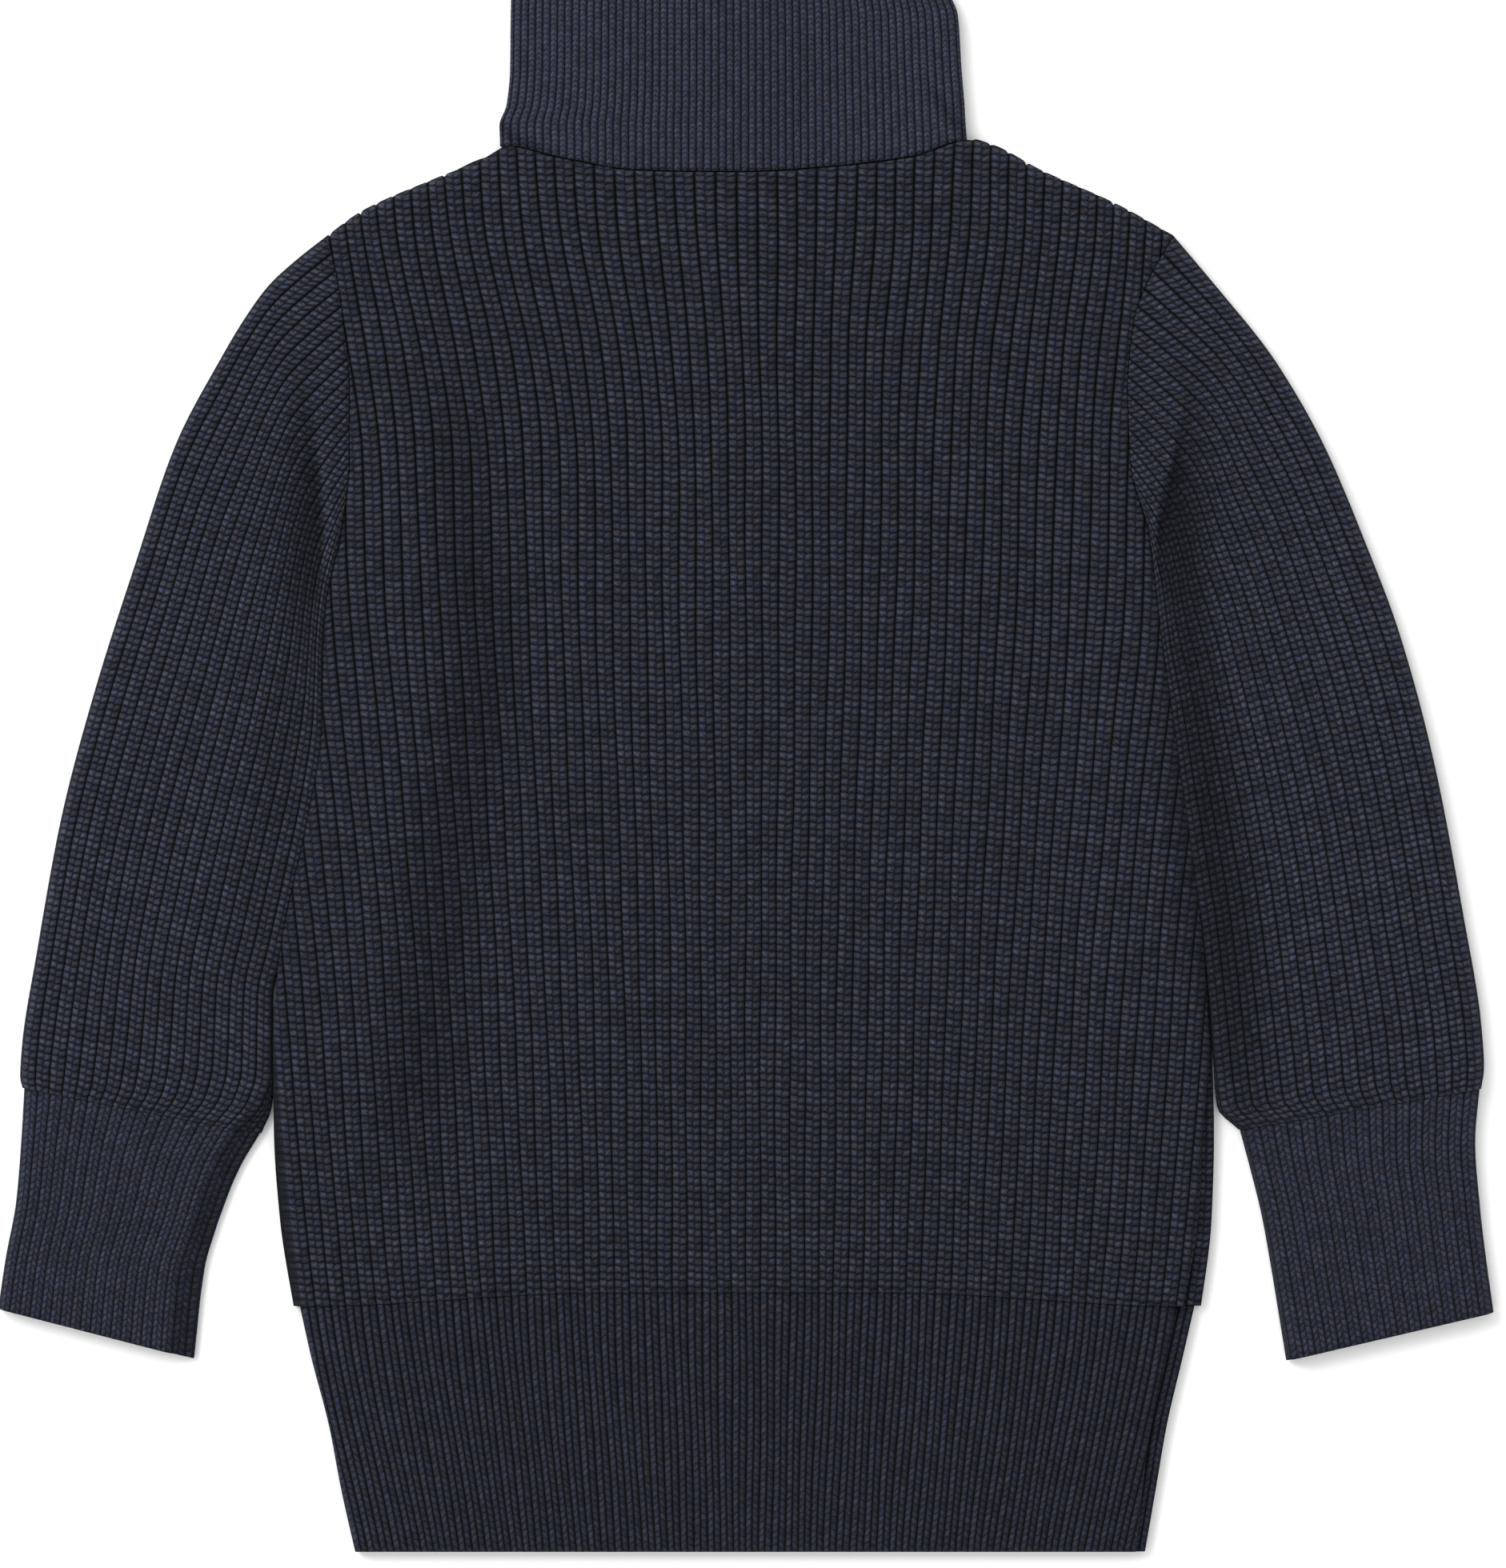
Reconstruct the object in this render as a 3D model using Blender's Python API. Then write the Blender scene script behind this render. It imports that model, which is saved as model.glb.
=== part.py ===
"""A child's quarter-zip sweater in chunky rib knit, lying face down with its back up.

The front panel rests flat on the surface, the back panel lies on it, and the sleeves lie beside
the body. X points to the wearer's right sleeve, Y to the collar, Z up. The tables are in
millimetres, and every solid is made in metres.
"""

import math

import bmesh
import bpy
import numpy as np

MM = 0.001
CENTRE_Y = 0.9      # where the sweater's middle lies on the tables' Y

# Heights of the layers above the surface
PLY = 3.3           # front panel and the lower half of each tube
SEAM_GAP = 0.3      # between sewn pieces
SIDE_GAP = 0.6      # between a sleeve and the body beside it
BACK_UNDER = 3.6    # underside of the back panel
BACK_PLY = 2.6      # back wall in the grooves between ribs
HEM_PLY = 2.3       # back hem wall in the grooves between ribs
COLLAR_PLY = 2.3    # collar wall in the grooves between ribs
TUBE_TOP = 6.2      # upper face of a sleeve in the grooves between ribs
TUBE_EDGE = 3.9     # upper face of a sleeve at its very edge
SLOT_LOW, SLOT_HIGH = 3.0, 3.4  # inside faces of a sleeve's two layers
EDGE_PLY = 0.9      # what is left of a wall at a rounded edge
EDGE_ROUND = 4.5    # how far in a side edge or a shoulder is rounded
SEAM_ROUND = 2.0    # how far in a seam edge is rounded
SEAM_BEVEL = 1.2    # how far the inside of a neck edge stands back from the seam

# Ribs: how far they stand above their grooves
BODY_RIB = 1.2
SLEEVE_RIB = 1.1
HEM_RIB = 1.1
CUFF_RIB = 0.9
COLLAR_RIB = 0.5
BODY_RIBS = 60      # across the back, and across its hem
SLEEVE_RIBS = 17    # across the upper face of a sleeve and its cuff
COLLAR_RIBS = 60    # across the back half of the collar
SCALLOP = 0.7       # how far rib ends stand out along the shoulders
CHUNKY = ((0.0, 0.0), (0.24, 1.0), (0.76, 1.0))  # place in a rib and height there
ROUNDED = ((0.0, 0.0), (0.28, 1.0), (0.72, 1.0))
FINE = ((0.0, 0.0), (0.5, 1.0))
END_FULL = 0.6      # how full a wall is along a seam that joins two knits

# Zip, measured from its centre line
ZIP_X = -3.5
ZIP_BOTTOM = 82.0   # the slit's lower end
SLIT_HALF = 4.6
TAPE_HALF = 12.6
TAPE_UNDER, TAPE_OVER = 3.6, 4.2
BEAD_HALF = 2.2     # the closed teeth
BEAD_UNDER, BEAD_OVER = 3.0, 4.8
BEAD_CHAMFER = 0.4
PULL_AXIS_Y = 251.5
PULL_AXIS_Z = 1.2
PULL_PLY = 0.9
ZIP_LIFT = 1.6      # how far the zip raises the back above it
SLIDER_LIFT = 0.9   # how much more the slider raises the collar

HEM_BOTTOM = -262.3
UNDERARM_Y = 81.0
SHOULDER_TIP_Y = 181.0
COLLAR_TOP = 264.1
SEAM_TOP = 179.6            # where a sleeve's seam starts at the shoulder
NECK_CORNERS = (-82.0, 76.5)  # X where the shoulders start


def table(columns, *rows):
    """A dict with one array for each named column."""
    return dict(zip(columns.split(), np.array(rows, float).T, strict=True))


# Body edges from the hem's top to the shoulder tips; front is the front panel's edge at the right
BODY_SIDES = table(
    "y left right front",
    (-184, -151.8, 146.8, 153.0),
    (-150, -157.2, 152.6, 157.2),
    (-122, -159.2, 154.2, 158.0),
    (-94, -159.6, 156.4, 157.3),
    (-58, -157.3, 154.4, 154.8),
    (-20, -149.5, 150.0, 150.2),
    (18, -143.2, 144.7, 144.7),
    (52, -142.6, 140.1, 140.1),
    (81, -137.2, 136.5, 136.5),
    (104, -134.3, 130.4, 130.4),
    (130, -134.2, 129.3, 129.3),
    (152, -136.2, 131.2, 131.2),
    (168, -138.6, 137.0, 137.0),
    (181, -141.5, 144.5, 144.5),
)

# Hem band edges
HEM_SIDES = table(
    "y left right front",
    (-262.3, -131.8, 131.5, 134.7),
    (-241, -136.6, 133.9, 138.4),
    (-220, -140.6, 136.5, 142.0),
    (-196, -146.8, 141.4, 147.6),
    (-174, -151.6, 146.6, 152.6),
)

# Upper outline from shoulder tip to shoulder tip: back is the back neck, front the front neck
TOP_EDGE = table(
    "x back front",
    (-141.5, 181.0, 181.0),
    (-129.0, 189.8, 189.8),
    (-104.5, 200.6, 200.6),
    (-85.0, 208.6, 208.6),
    (-80.0, 212.4, 205.0),
    (-64.0, 208.7, 190.0),
    (-38.0, 204.4, 176.5),
    (-3.5, 203.6, 172.0),
    (30.0, 205.6, 176.5),
    (57.0, 209.0, 190.0),
    (74.0, 214.2, 205.0),
    (83.0, 212.0, 210.6),
    (99.0, 203.6, 203.6),
    (126.0, 191.4, 191.4),
    (144.5, 181.0, 181.0),
)

# Distance between ribs on the back, at its centre and 30 ribs out from it
RIB_PITCH = table(
    "y centre side",
    (-262, 4.38, 4.40),
    (-180, 4.85, 5.15),
    (-120, 4.95, 5.50),
    (-60, 5.10, 5.70),
    (0, 5.30, 6.00),
    (60, 5.50, 6.30),
    (110, 5.60, 6.35),
    (140, 5.90, 6.20),
    (187, 6.90, 5.20),
    (214, 7.10, 5.00),
)

# Collar edges, from the neck seam up
COLLAR_SIDES = table(
    "y left right",
    (165, -83.4, 74.6),
    (213, -83.0, 74.6),
    (219, -83.2, 74.2),
    (226, -80.8, 73.8),
    (238, -79.6, 72.8),
    (256, -79.4, 71.6),
    (264.1, -79.2, 68.5),
)

# Sleeve sections from the armhole to the cuff: outer and inner edge; ledge is how far the lower
# layer stands out past the upper one at the inner edge
LEFT_SLEEVE = table(
    "out_x out_y in_x in_y ledge",
    (-160.9, 164.4, -141.5, 58, 0),
    (-176.9, 139.9, -143.0, 36, 0),
    (-192.0, 111.0, -143.0, 14, 0),
    (-205.5, 71.0, -146.0, -10, 0),
    (-219.5, 26.7, -151.0, -35, 0),
    (-230.4, -15.0, -156.5, -60, 0),
    (-238.2, -58.0, -160.0, -76, 0),
    (-243.6, -92.0, -160.2, -101, 0),
    (-244.2, -102.0, -163.6, -111.5, 3.0),
    (-243.4, -105.9, -171.0, -119.8, 7.0),
)
RIGHT_SLEEVE = table(
    "out_x out_y in_x in_y ledge",
    (163.6, 158.0, 140.5, 60, 0),
    (178.5, 138.8, 141.5, 40, 0),
    (194.0, 112.0, 144.0, 19, 0),
    (208.5, 78.0, 147.0, -4, 0),
    (220.1, 47.0, 150.5, -28, 0),
    (231.6, 4.0, 154.5, -56, 0),
    (241.4, -47.5, 157.0, -82, 0),
    (247.4, -84.0, 158.5, -99, 0),
    (248.4, -99.0, 160.5, -112.5, 0.8),
    (247.4, -106.2, 168.0, -119.6, 1.2),
)

# Cuff sections from the sleeve's end down
LEFT_CUFF = table(
    "out_x out_y in_x in_y ledge",
    (-242.8, -106.6, -171.9, -120.5, 7.0),
    (-243.7, -122.0, -179.2, -133.0, 7.2),
    (-245.5, -144.0, -185.4, -150.6, 6.6),
    (-249.0, -163.0, -191.2, -168.5, 7.6),
    (-251.6, -180.4, -193.8, -195.3, 7.2),
)
RIGHT_CUFF = table(
    "out_x out_y in_x in_y ledge",
    (246.8, -106.9, 168.6, -120.3, 1.2),
    (245.4, -124.0, 171.4, -131.5, 1.0),
    (247.0, -146.0, 175.6, -148.6, 1.0),
    (249.4, -166.0, 179.2, -168.5, 1.0),
    (251.6, -181.7, 184.3, -197.4, 1.4),
)
# A zip tape from below the slit to the collar's top: its inner edge, and whether teeth are there
TAPE_ROWS = table(
    "y near bead",
    (78.0, 0.15, 0),
    (82.5, 0.15, 0),
    (83.3, 0.15, 1),
    (140.0, 0.15, 1),
    (200.0, 0.15, 1),
    (253.0, 0.15, 1),
    (253.7, 1.85, 0),
    (261.5, 1.85, 0),
)

# Rows of points on the body up to the underarm, and the rest as shares of the height above it
BODY_ROWS = (-179.0, -176.6, -140.0, -108.0, -76.0, -40.0, 0.0, 40.0, UNDERARM_Y)
YOKE_ROWS = (0.28, 0.52, 0.76, 0.95, 0.985, 1.0)
EDGE_ROWS = BODY_ROWS + tuple(UNDERARM_Y + s * (SHOULDER_TIP_Y - UNDERARM_Y) for s in YOKE_ROWS)
HEM_ROWS = (0.0, 0.03, 0.35, 0.68, 0.97, 1.0)
COLLAR_ROWS = (0.0, 0.05, 0.25, 0.5, 0.75, 0.96, 1.0)

# Columns of points: ribs out from the centre on the plain inside, the same for back and hem
KNOTS = np.array((0.9, 2.2, 3.6, 6, 10, 15, 20, 25, 30))
INSIDE_RIBS = np.concatenate([-KNOTS[::-1], KNOTS])
NECK_LEFT = (ZIP_X - SLIT_HALF, -38.0, -64.0, -79.5)
NECK_RIGHT = (ZIP_X + SLIT_HALF, 30.0, 57.0, 71.5)
FRONT_X = (-141.5, -129.0, -104.5, -87.0, *NECK_LEFT[::-1], *NECK_RIGHT, 74.0, 86.0, 99.0, 126.0, 144.5)
COLLAR_INSIDE = (0.03, 0.15, 0.3, 0.38, 0.44, 0.48, 0.52, 0.56, 0.6, 0.66, 0.76, 0.88, 0.97)

# Profiles as distance and height: a tube's inner edge below its upper face, with the share of
# the ledge that each point stands out by; the fold at its outer edge; a fold of the collar
TUBE_SIDE = table(
    "out ledge z",
    (0.5, 0.0, 3.85),
    (0.5, 0.4, 3.5),
    (0.5, 1.0, 2.05),
    (-0.1, 1.0, 0.65),
    (-1.7, 1.0, 0.0),
)
TUBE_FOLD = table("out z", (0.2, 0.6), (0.9, 1.6), (0.8, 3.2))
COLLAR_FOLD = table("inward z", (2.4, 0.2), (0.35, 1.6), (0.0, 3.8), (0.8, 5.6))
FOLD_WIDTH = 3.2
COLLAR_INSET = 1.2
COLLAR_LEFT = COLLAR_SIDES["left"][1] + COLLAR_INSET
COLLAR_RIGHT = COLLAR_SIDES["right"][1] - COLLAR_INSET
COLLAR_NECK = (-79.0, 72.5)  # the part of the neck seam that the collar's back half follows

# Blocks that make the slider, from the zip's centre line and the pull's axis: two wings, the post
# between the tapes, four flanges beside the teeth, and the bail's bar and legs
SLIDER_BLOCKS = (
    ((-3.9, 3.9), (-4.5, 4.9), (1.95, 2.75)),
    ((-3.9, 3.9), (-4.5, 4.9), (5.05, 5.65)),
    ((-1.4, 1.4), (2.5, 4.7), (2.15, 5.45)),
    ((-3.9, -3.1), (-4.5, 4.9), (2.15, 3.3)),
    ((3.1, 3.9), (-4.5, 4.9), (2.15, 3.3)),
    ((-3.9, -3.1), (-4.5, 4.9), (4.5, 5.45)),
    ((3.1, 3.9), (-4.5, 4.9), (4.5, 5.45)),
    ((-0.9, 0.9), (-2.5, 2.5), (0.05, 0.5)),
    ((-0.9, 0.9), (-2.5, -1.8), (0.25, 2.15)),
    ((-0.9, 0.9), (1.8, 2.5), (0.25, 2.15)),
)

# Half the pull's outline, and its eye, from the same centre line and axis
PULL_OUTLINE = table(
    "x y",
    (2.6, 0.45),
    (2.6, -4.2),
    (1.7, -5.6),
    (1.7, -9.0),
    (3.0, -11.0),
    (3.0, -22.4),
    (1.6, -24.0),
)
PULL_EYE = ((-1.3, 1.3), (-3.4, -0.45), (-2.0, 2.0))


def slopes(x, y):
    """Slopes of a smooth curve through the points that never swings past them."""
    step, rise = np.diff(x), np.diff(y)
    secant = rise / step
    inner = np.where(
        secant[1:] * secant[:-1] > 0,
        2 * secant[1:] * secant[:-1] / np.where(secant[1:] + secant[:-1] == 0, 1, secant[1:] + secant[:-1]),
        0.0,
    )
    return np.concatenate([[secant[0]], inner, [secant[-1]]])


def smooth(x, y, at):
    """The value at each place of a smooth curve through the points."""
    at = np.clip(np.asarray(at, float), x[0], x[-1])
    m = slopes(x, y)
    i = np.clip(np.searchsorted(x, at) - 1, 0, len(x) - 2)
    width = x[i + 1] - x[i]
    t = (at - x[i]) / width
    return (
        (2 * t**3 - 3 * t**2 + 1) * y[i]
        + (t**3 - 2 * t**2 + t) * width * m[i]
        + (3 * t**2 - 2 * t**3) * y[i + 1]
        + (t**3 - t**2) * width * m[i + 1]
    )


def read(rows, column, at, along="y"):
    """A column of a table, read smoothly at each place along another of its columns."""
    return smooth(rows[along], rows[column], at)


def ease(t):
    """A soft step from 0 to 1."""
    t = np.clip(t, 0, 1)
    return t * t * (3 - 2 * t)


def roundness(distance, radius):
    """How full a wall is this far in from a rounded edge, from 0 at the edge to 1."""
    t = np.clip(1 - np.asarray(distance) / radius, 0, 1)
    return np.sqrt(1 - t * t)


def rib_places(count, shape, first=0.0):
    """Places counted in ribs, and the height of the rib there, from 0 to 1."""
    places = [(first + k + at, height) for k in range(count) for at, height in shape]
    places.append((first + count, 0.0))
    at, height = np.array(places).T
    return at, height


def rib_x(k, y):
    """Where the groove number k, counted from the back's centre, lies at this height."""
    centre, side = read(RIB_PITCH, "centre", y), read(RIB_PITCH, "side", y)
    return ZIP_X * ease((np.asarray(y) - 100) / 110) + centre * k + (side - centre) * k * abs(k) / BODY_RIBS


def zip_lift(x, y):
    """How far the zip raises the cloth that lies on it."""
    across = ease((26 - np.abs(np.asarray(x) - ZIP_X)) / 20)
    along = ease((np.asarray(y) - ZIP_BOTTOM + 34) / 24)
    return ZIP_LIFT * across * along


def slider_lift(x, y):
    """How much more the slider raises the collar's back half."""
    away = np.hypot((np.asarray(x) - ZIP_X) / 24, (np.asarray(y) - PULL_AXIS_Y) / 30)
    return SLIDER_LIFT * ease(1.5 - away)


def join(a, a_at, b, b_at):
    """Triangles between two rows of points that share their first and last places."""
    faces, i, j = [], 0, 0
    while i < len(a) - 1 or j < len(b) - 1:
        forward_a = j == len(b) - 1 or (i < len(a) - 1 and a_at[i + 1] <= b_at[j + 1])
        if forward_a:
            faces.append((a[i], a[i + 1], b[j]))
            i += 1
        else:
            faces.append((a[i], b[j + 1], b[j]))
            j += 1
    return faces


def quads(index):
    """Faces of a grid of point numbers."""
    return [
        (index[r, c], index[r, c + 1], index[r + 1, c + 1], index[r + 1, c])
        for r in range(index.shape[0] - 1)
        for c in range(index.shape[1] - 1)
    ]


def add_object(name, points, faces, material):
    """A mesh object from points in millimetres, with doubled points made one."""
    mesh = bpy.data.meshes.new(name)
    centred = (np.asarray(points, float) - (0, CENTRE_Y, 0)) * MM
    mesh.from_pydata([tuple(p) for p in centred], [], faces)
    form = bmesh.new()
    form.from_mesh(mesh)
    bmesh.ops.remove_doubles(form, verts=form.verts, dist=2e-6)
    bmesh.ops.dissolve_degenerate(form, edges=form.edges, dist=2e-6)
    bmesh.ops.recalc_face_normals(form, faces=form.faces)
    form.to_mesh(mesh)
    form.free()
    mesh.shade_smooth()
    mesh.set_sharp_from_angle(angle=math.radians(50))
    obj = bpy.data.objects.new(name, mesh)
    bpy.context.collection.objects.link(obj)
    mesh.materials.append(material)
    return obj


def wall(name, outer, outer_at, inner, inner_at, material, ring=False):
    """A closed wall between an outer grid, which carries the ribs, and a plain inner one."""
    rows = outer.shape[0]
    outer_index = np.arange(outer.shape[0] * outer.shape[1]).reshape(outer.shape[:2])
    inner_index = outer_index.size + np.arange(inner.shape[0] * inner.shape[1]).reshape(inner.shape[:2])
    if ring:
        outer_index = np.hstack([outer_index, outer_index[:, :1]])
        inner_index = np.hstack([inner_index, inner_index[:, :1]])
    faces = quads(outer_index) + quads(inner_index)
    if not ring:
        for side in (0, -1):
            pair = np.stack([outer_index[:, side], inner_index[:, side]], axis=1)
            faces += quads(pair)
    for row in (0, rows - 1):
        faces += join(outer_index[row], outer_at, inner_index[row], inner_at)
    points = np.concatenate([outer.reshape(-1, 3), inner.reshape(-1, 3)])
    return add_object(name, points, faces, material)


def slab(name, lower, upper, present, material):
    """A closed slab from two matching grids, with the cells that aren't present left out."""
    rows, columns = lower.shape[:2]
    low = np.arange(rows * columns).reshape(rows, columns)
    high = low + low.size
    faces = []
    for r in range(rows - 1):
        for c in range(columns - 1):
            if not present[r, c]:
                continue
            corners = ((r, c), (r, c + 1), (r + 1, c + 1), (r + 1, c))
            faces.append(tuple(low[k] for k in corners))
            faces.append(tuple(high[k] for k in corners))
            beside = ((r - 1, c), (r, c + 1), (r + 1, c), (r, c - 1))
            for n, (br, bc) in enumerate(beside):
                inside = 0 <= br < rows - 1 and 0 <= bc < columns - 1 and present[br, bc]
                if not inside:
                    a, b = corners[n], corners[(n + 1) % 4]
                    faces.append((low[a], low[b], high[b], high[a]))
    used = sorted({k for face in faces for k in face})
    renumber = {k: n for n, k in enumerate(used)}
    points = np.concatenate([lower.reshape(-1, 3), upper.reshape(-1, 3)])[used]
    return add_object(name, points, [tuple(renumber[k] for k in f) for f in faces], material)


def plain(name, colour, roughness=0.9, metallic=0.0):
    material = bpy.data.materials.new(name)
    material.use_nodes = True
    shader = material.node_tree.nodes["Principled BSDF"]
    shader.inputs["Base Color"].default_value = (*colour, 1)
    shader.inputs["Roughness"].default_value = roughness
    shader.inputs["Metallic"].default_value = metallic
    return material


def hem_line(k):
    """Height at rib k of the change from hem rib to body rib, a little higher at the centre."""
    return np.interp(k, INSIDE_RIBS, -174.5 - 4.7 * ease((np.abs(INSIDE_RIBS) - 10) / 20))


def body_heights(top, k, rows):
    """Heights of the rows of points from the hem up to this upper outline, at ribs k."""
    low = np.repeat(np.array(rows)[:, None], len(k), axis=1)
    low[0] = hem_line(k) + SEAM_GAP / 2
    return np.vstack([low, rows[-1] + np.array(YOKE_ROWS)[:, None] * (top - rows[-1])])


def inside_of(grid, k, under):
    """The plain inside of a ribbed grid, at fewer columns, at the height that under gives."""
    inner = np.zeros((len(grid), len(INSIDE_RIBS), 3))
    for r, row in enumerate(grid):
        inner[r, :, 0] = np.interp(INSIDE_RIBS, k, row[:, 0])
        inner[r, :, 1] = np.interp(INSIDE_RIBS, k, row[:, 1])
        inner[r, :, 2] = under(inner[r, :, 0], inner[r, :, 1])
    return inner


def build_back(material):
    """The back panel, with its ribs fanning out towards the neck and shoulders."""
    k, rib = rib_places(BODY_RIBS, CHUNKY, first=-BODY_RIBS / 2)
    tip_left, tip_right = TOP_EDGE["x"][0], TOP_EDGE["x"][-1]
    top = np.full(len(k), SHOULDER_TIP_Y)
    for _ in range(6):
        top_x = np.clip(rib_x(k, top), tip_left, tip_right)
        top = read(TOP_EDGE, "back", top_x, along="x")
    shoulder = (top_x < NECK_CORNERS[0]) | (top_x > NECK_CORNERS[1])
    heights = body_heights(top, k, BODY_ROWS)
    heights[1] = heights[0] + SEAM_ROUND
    standing = shoulder & (top_x > tip_left) & (top_x < tip_right)
    heights[-1] += np.where(standing, SCALLOP * (2 * rib - 1), 0)
    grid = np.zeros((*heights.shape, 3))
    for r, y in enumerate(heights):
        left, right = read(BODY_SIDES, "left", y), read(BODY_SIDES, "right", y)
        x = rib_x(k, y)
        x[0], x[-1] = left[0], right[-1]
        x = np.clip(x, left, right)
        side = np.minimum(x - left, right - x)
        full = roundness(side, np.where(y > UNDERARM_Y, SEAM_ROUND, EDGE_ROUND))
        if r == 0:
            full = full * END_FULL
        if y.min() > UNDERARM_Y:
            full = full * roundness(np.maximum(top - y, 0), np.where(shoulder, EDGE_ROUND, SEAM_ROUND))
        rise = (BACK_PLY - EDGE_PLY + BODY_RIB * rib * (side > 0)) * full
        grid[r] = np.stack([x, y, BACK_UNDER + zip_lift(x, y) + EDGE_PLY + rise], axis=1)
    inner = inside_of(grid, k, lambda x, y: BACK_UNDER + zip_lift(x, y))
    inner[-1, :, 1] -= SEAM_BEVEL
    return wall("back_panel", grid, k, inner, INSIDE_RIBS, material)


def build_back_hem(material):
    """The back's hem band, in narrower rounded ribs that carry on the back's own."""
    k, rib = rib_places(BODY_RIBS, ROUNDED, first=-BODY_RIBS / 2)
    top = hem_line(k) - SEAM_GAP / 2
    grid = np.zeros((len(HEM_ROWS), len(k), 3))
    for r, part in enumerate(HEM_ROWS):
        y = HEM_BOTTOM + part * (top - HEM_BOTTOM)
        left, right = read(HEM_SIDES, "left", y), read(HEM_SIDES, "right", y)
        x = rib_x(k, y)
        x[0], x[-1] = left[0], right[-1]
        x = np.clip(x, left, right)
        side = np.minimum(x - left, right - x)
        full = roundness(side, EDGE_ROUND) * roundness(y - HEM_BOTTOM, SEAM_ROUND)
        if part == 1:
            full = full * END_FULL
        rise = (HEM_PLY - EDGE_PLY + HEM_RIB * rib * (side > 0)) * full
        grid[r] = np.stack([x, y, BACK_UNDER + EDGE_PLY + rise], axis=1)
    inner = inside_of(grid, k, lambda x, y: np.full(len(x), BACK_UNDER))
    return wall("back_hem_rib", grid, k, inner, INSIDE_RIBS, material)


def build_front(material):
    """The front panel, flat on the surface, with its deeper neck and the slit for the zip."""
    across = np.array(FRONT_X)
    share = (across - across[0]) / (across[-1] - across[0])
    top = read(TOP_EDGE, "front", across, along="x")
    heights = body_heights(top, BODY_RIBS * (share - 0.5), (*BODY_ROWS[:1], *BODY_ROWS[2:-1], ZIP_BOTTOM))
    lower = np.zeros((*heights.shape, 3))
    for r, y in enumerate(heights):
        left, right = read(BODY_SIDES, "left", y), read(BODY_SIDES, "front", y)
        x = left + (right - left) * share
        if y.min() >= ZIP_BOTTOM:
            x[1:-1] = np.clip(across, left, right)[1:-1]
        lower[r, :, 0], lower[r, :, 1] = x, y
    present = np.ones((len(heights) - 1, len(across) - 1), bool)
    present[-len(YOKE_ROWS) :, FRONT_X.index(NECK_LEFT[0])] = False
    return slab("front_panel", lower, lower + (0, 0, PLY), present, material)


def build_front_hem(material):
    """The front's hem band, flat on the surface."""
    share = 0.5 + INSIDE_RIBS / BODY_RIBS
    top = hem_line(INSIDE_RIBS) - SEAM_GAP / 2
    lower = np.zeros((4, len(share), 3))
    for r, part in enumerate((0.0, 0.35, 0.7, 1.0)):
        y = HEM_BOTTOM + part * (top - HEM_BOTTOM)
        left, right = read(HEM_SIDES, "left", y), read(HEM_SIDES, "front", y)
        lower[r, :, 0], lower[r, :, 1] = left + (right - left) * share, y
    present = np.ones((3, len(share) - 1), bool)
    return slab("front_hem_rib", lower, lower + (0, 0, PLY), present, material)


def body_clear(x, y, side):
    """Keeps points of a sleeve clear of the body beside it; side is -1 left, 1 right."""
    rows = np.array(EDGE_ROWS)
    edge = np.interp(y, rows, read(BODY_SIDES, "left" if side < 0 else "front", rows))
    return side * np.maximum(side * x, side * edge + SIDE_GAP)


def seam_curve(share, side):
    """Points along the armhole seam, from the shoulder tip to the underarm."""
    y = SEAM_TOP + share * (UNDERARM_Y - SEAM_TOP)
    x = read(BODY_SIDES, "left" if side < 0 else "right", y) + side * SIDE_GAP
    return np.stack([x, y], axis=1)


def place_on(line, share, at):
    """The point this share of the way along a row."""
    return np.interp(at, share, line[:, 0]), np.interp(at, share, line[:, 1])


def tube_rows(sections, side, share, seam):
    """Rows of points across a tube's upper face, each with its ledge and how full it is."""
    start = np.stack([sections["out_x"], sections["out_y"]], axis=1)
    end = np.stack([sections["in_x"], sections["in_y"]], axis=1)
    lines = [a + share[:, None] * (b - a) for a, b in zip(start, end, strict=True)]
    rows = [[line, ledge, 1.0] for line, ledge in zip(lines, sections["ledge"], strict=True)]
    rows[-1][2] = END_FULL
    if not seam:
        rows[0][2] = END_FULL
        return rows
    armhole = seam_curve(share, side)
    halfway = (7 * armhole + 10 * lines[0] - lines[1]) / 16
    rows.insert(1, [(9 * lines[0] + 9 * lines[1] - armhole - lines[2]) / 16, 0.0, 1.0])
    return [[armhole, 0.0, END_FULL], [0.92 * armhole + 0.08 * halfway, 0.0, 1.0], [halfway, 0.0, 1.0], *rows]


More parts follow.
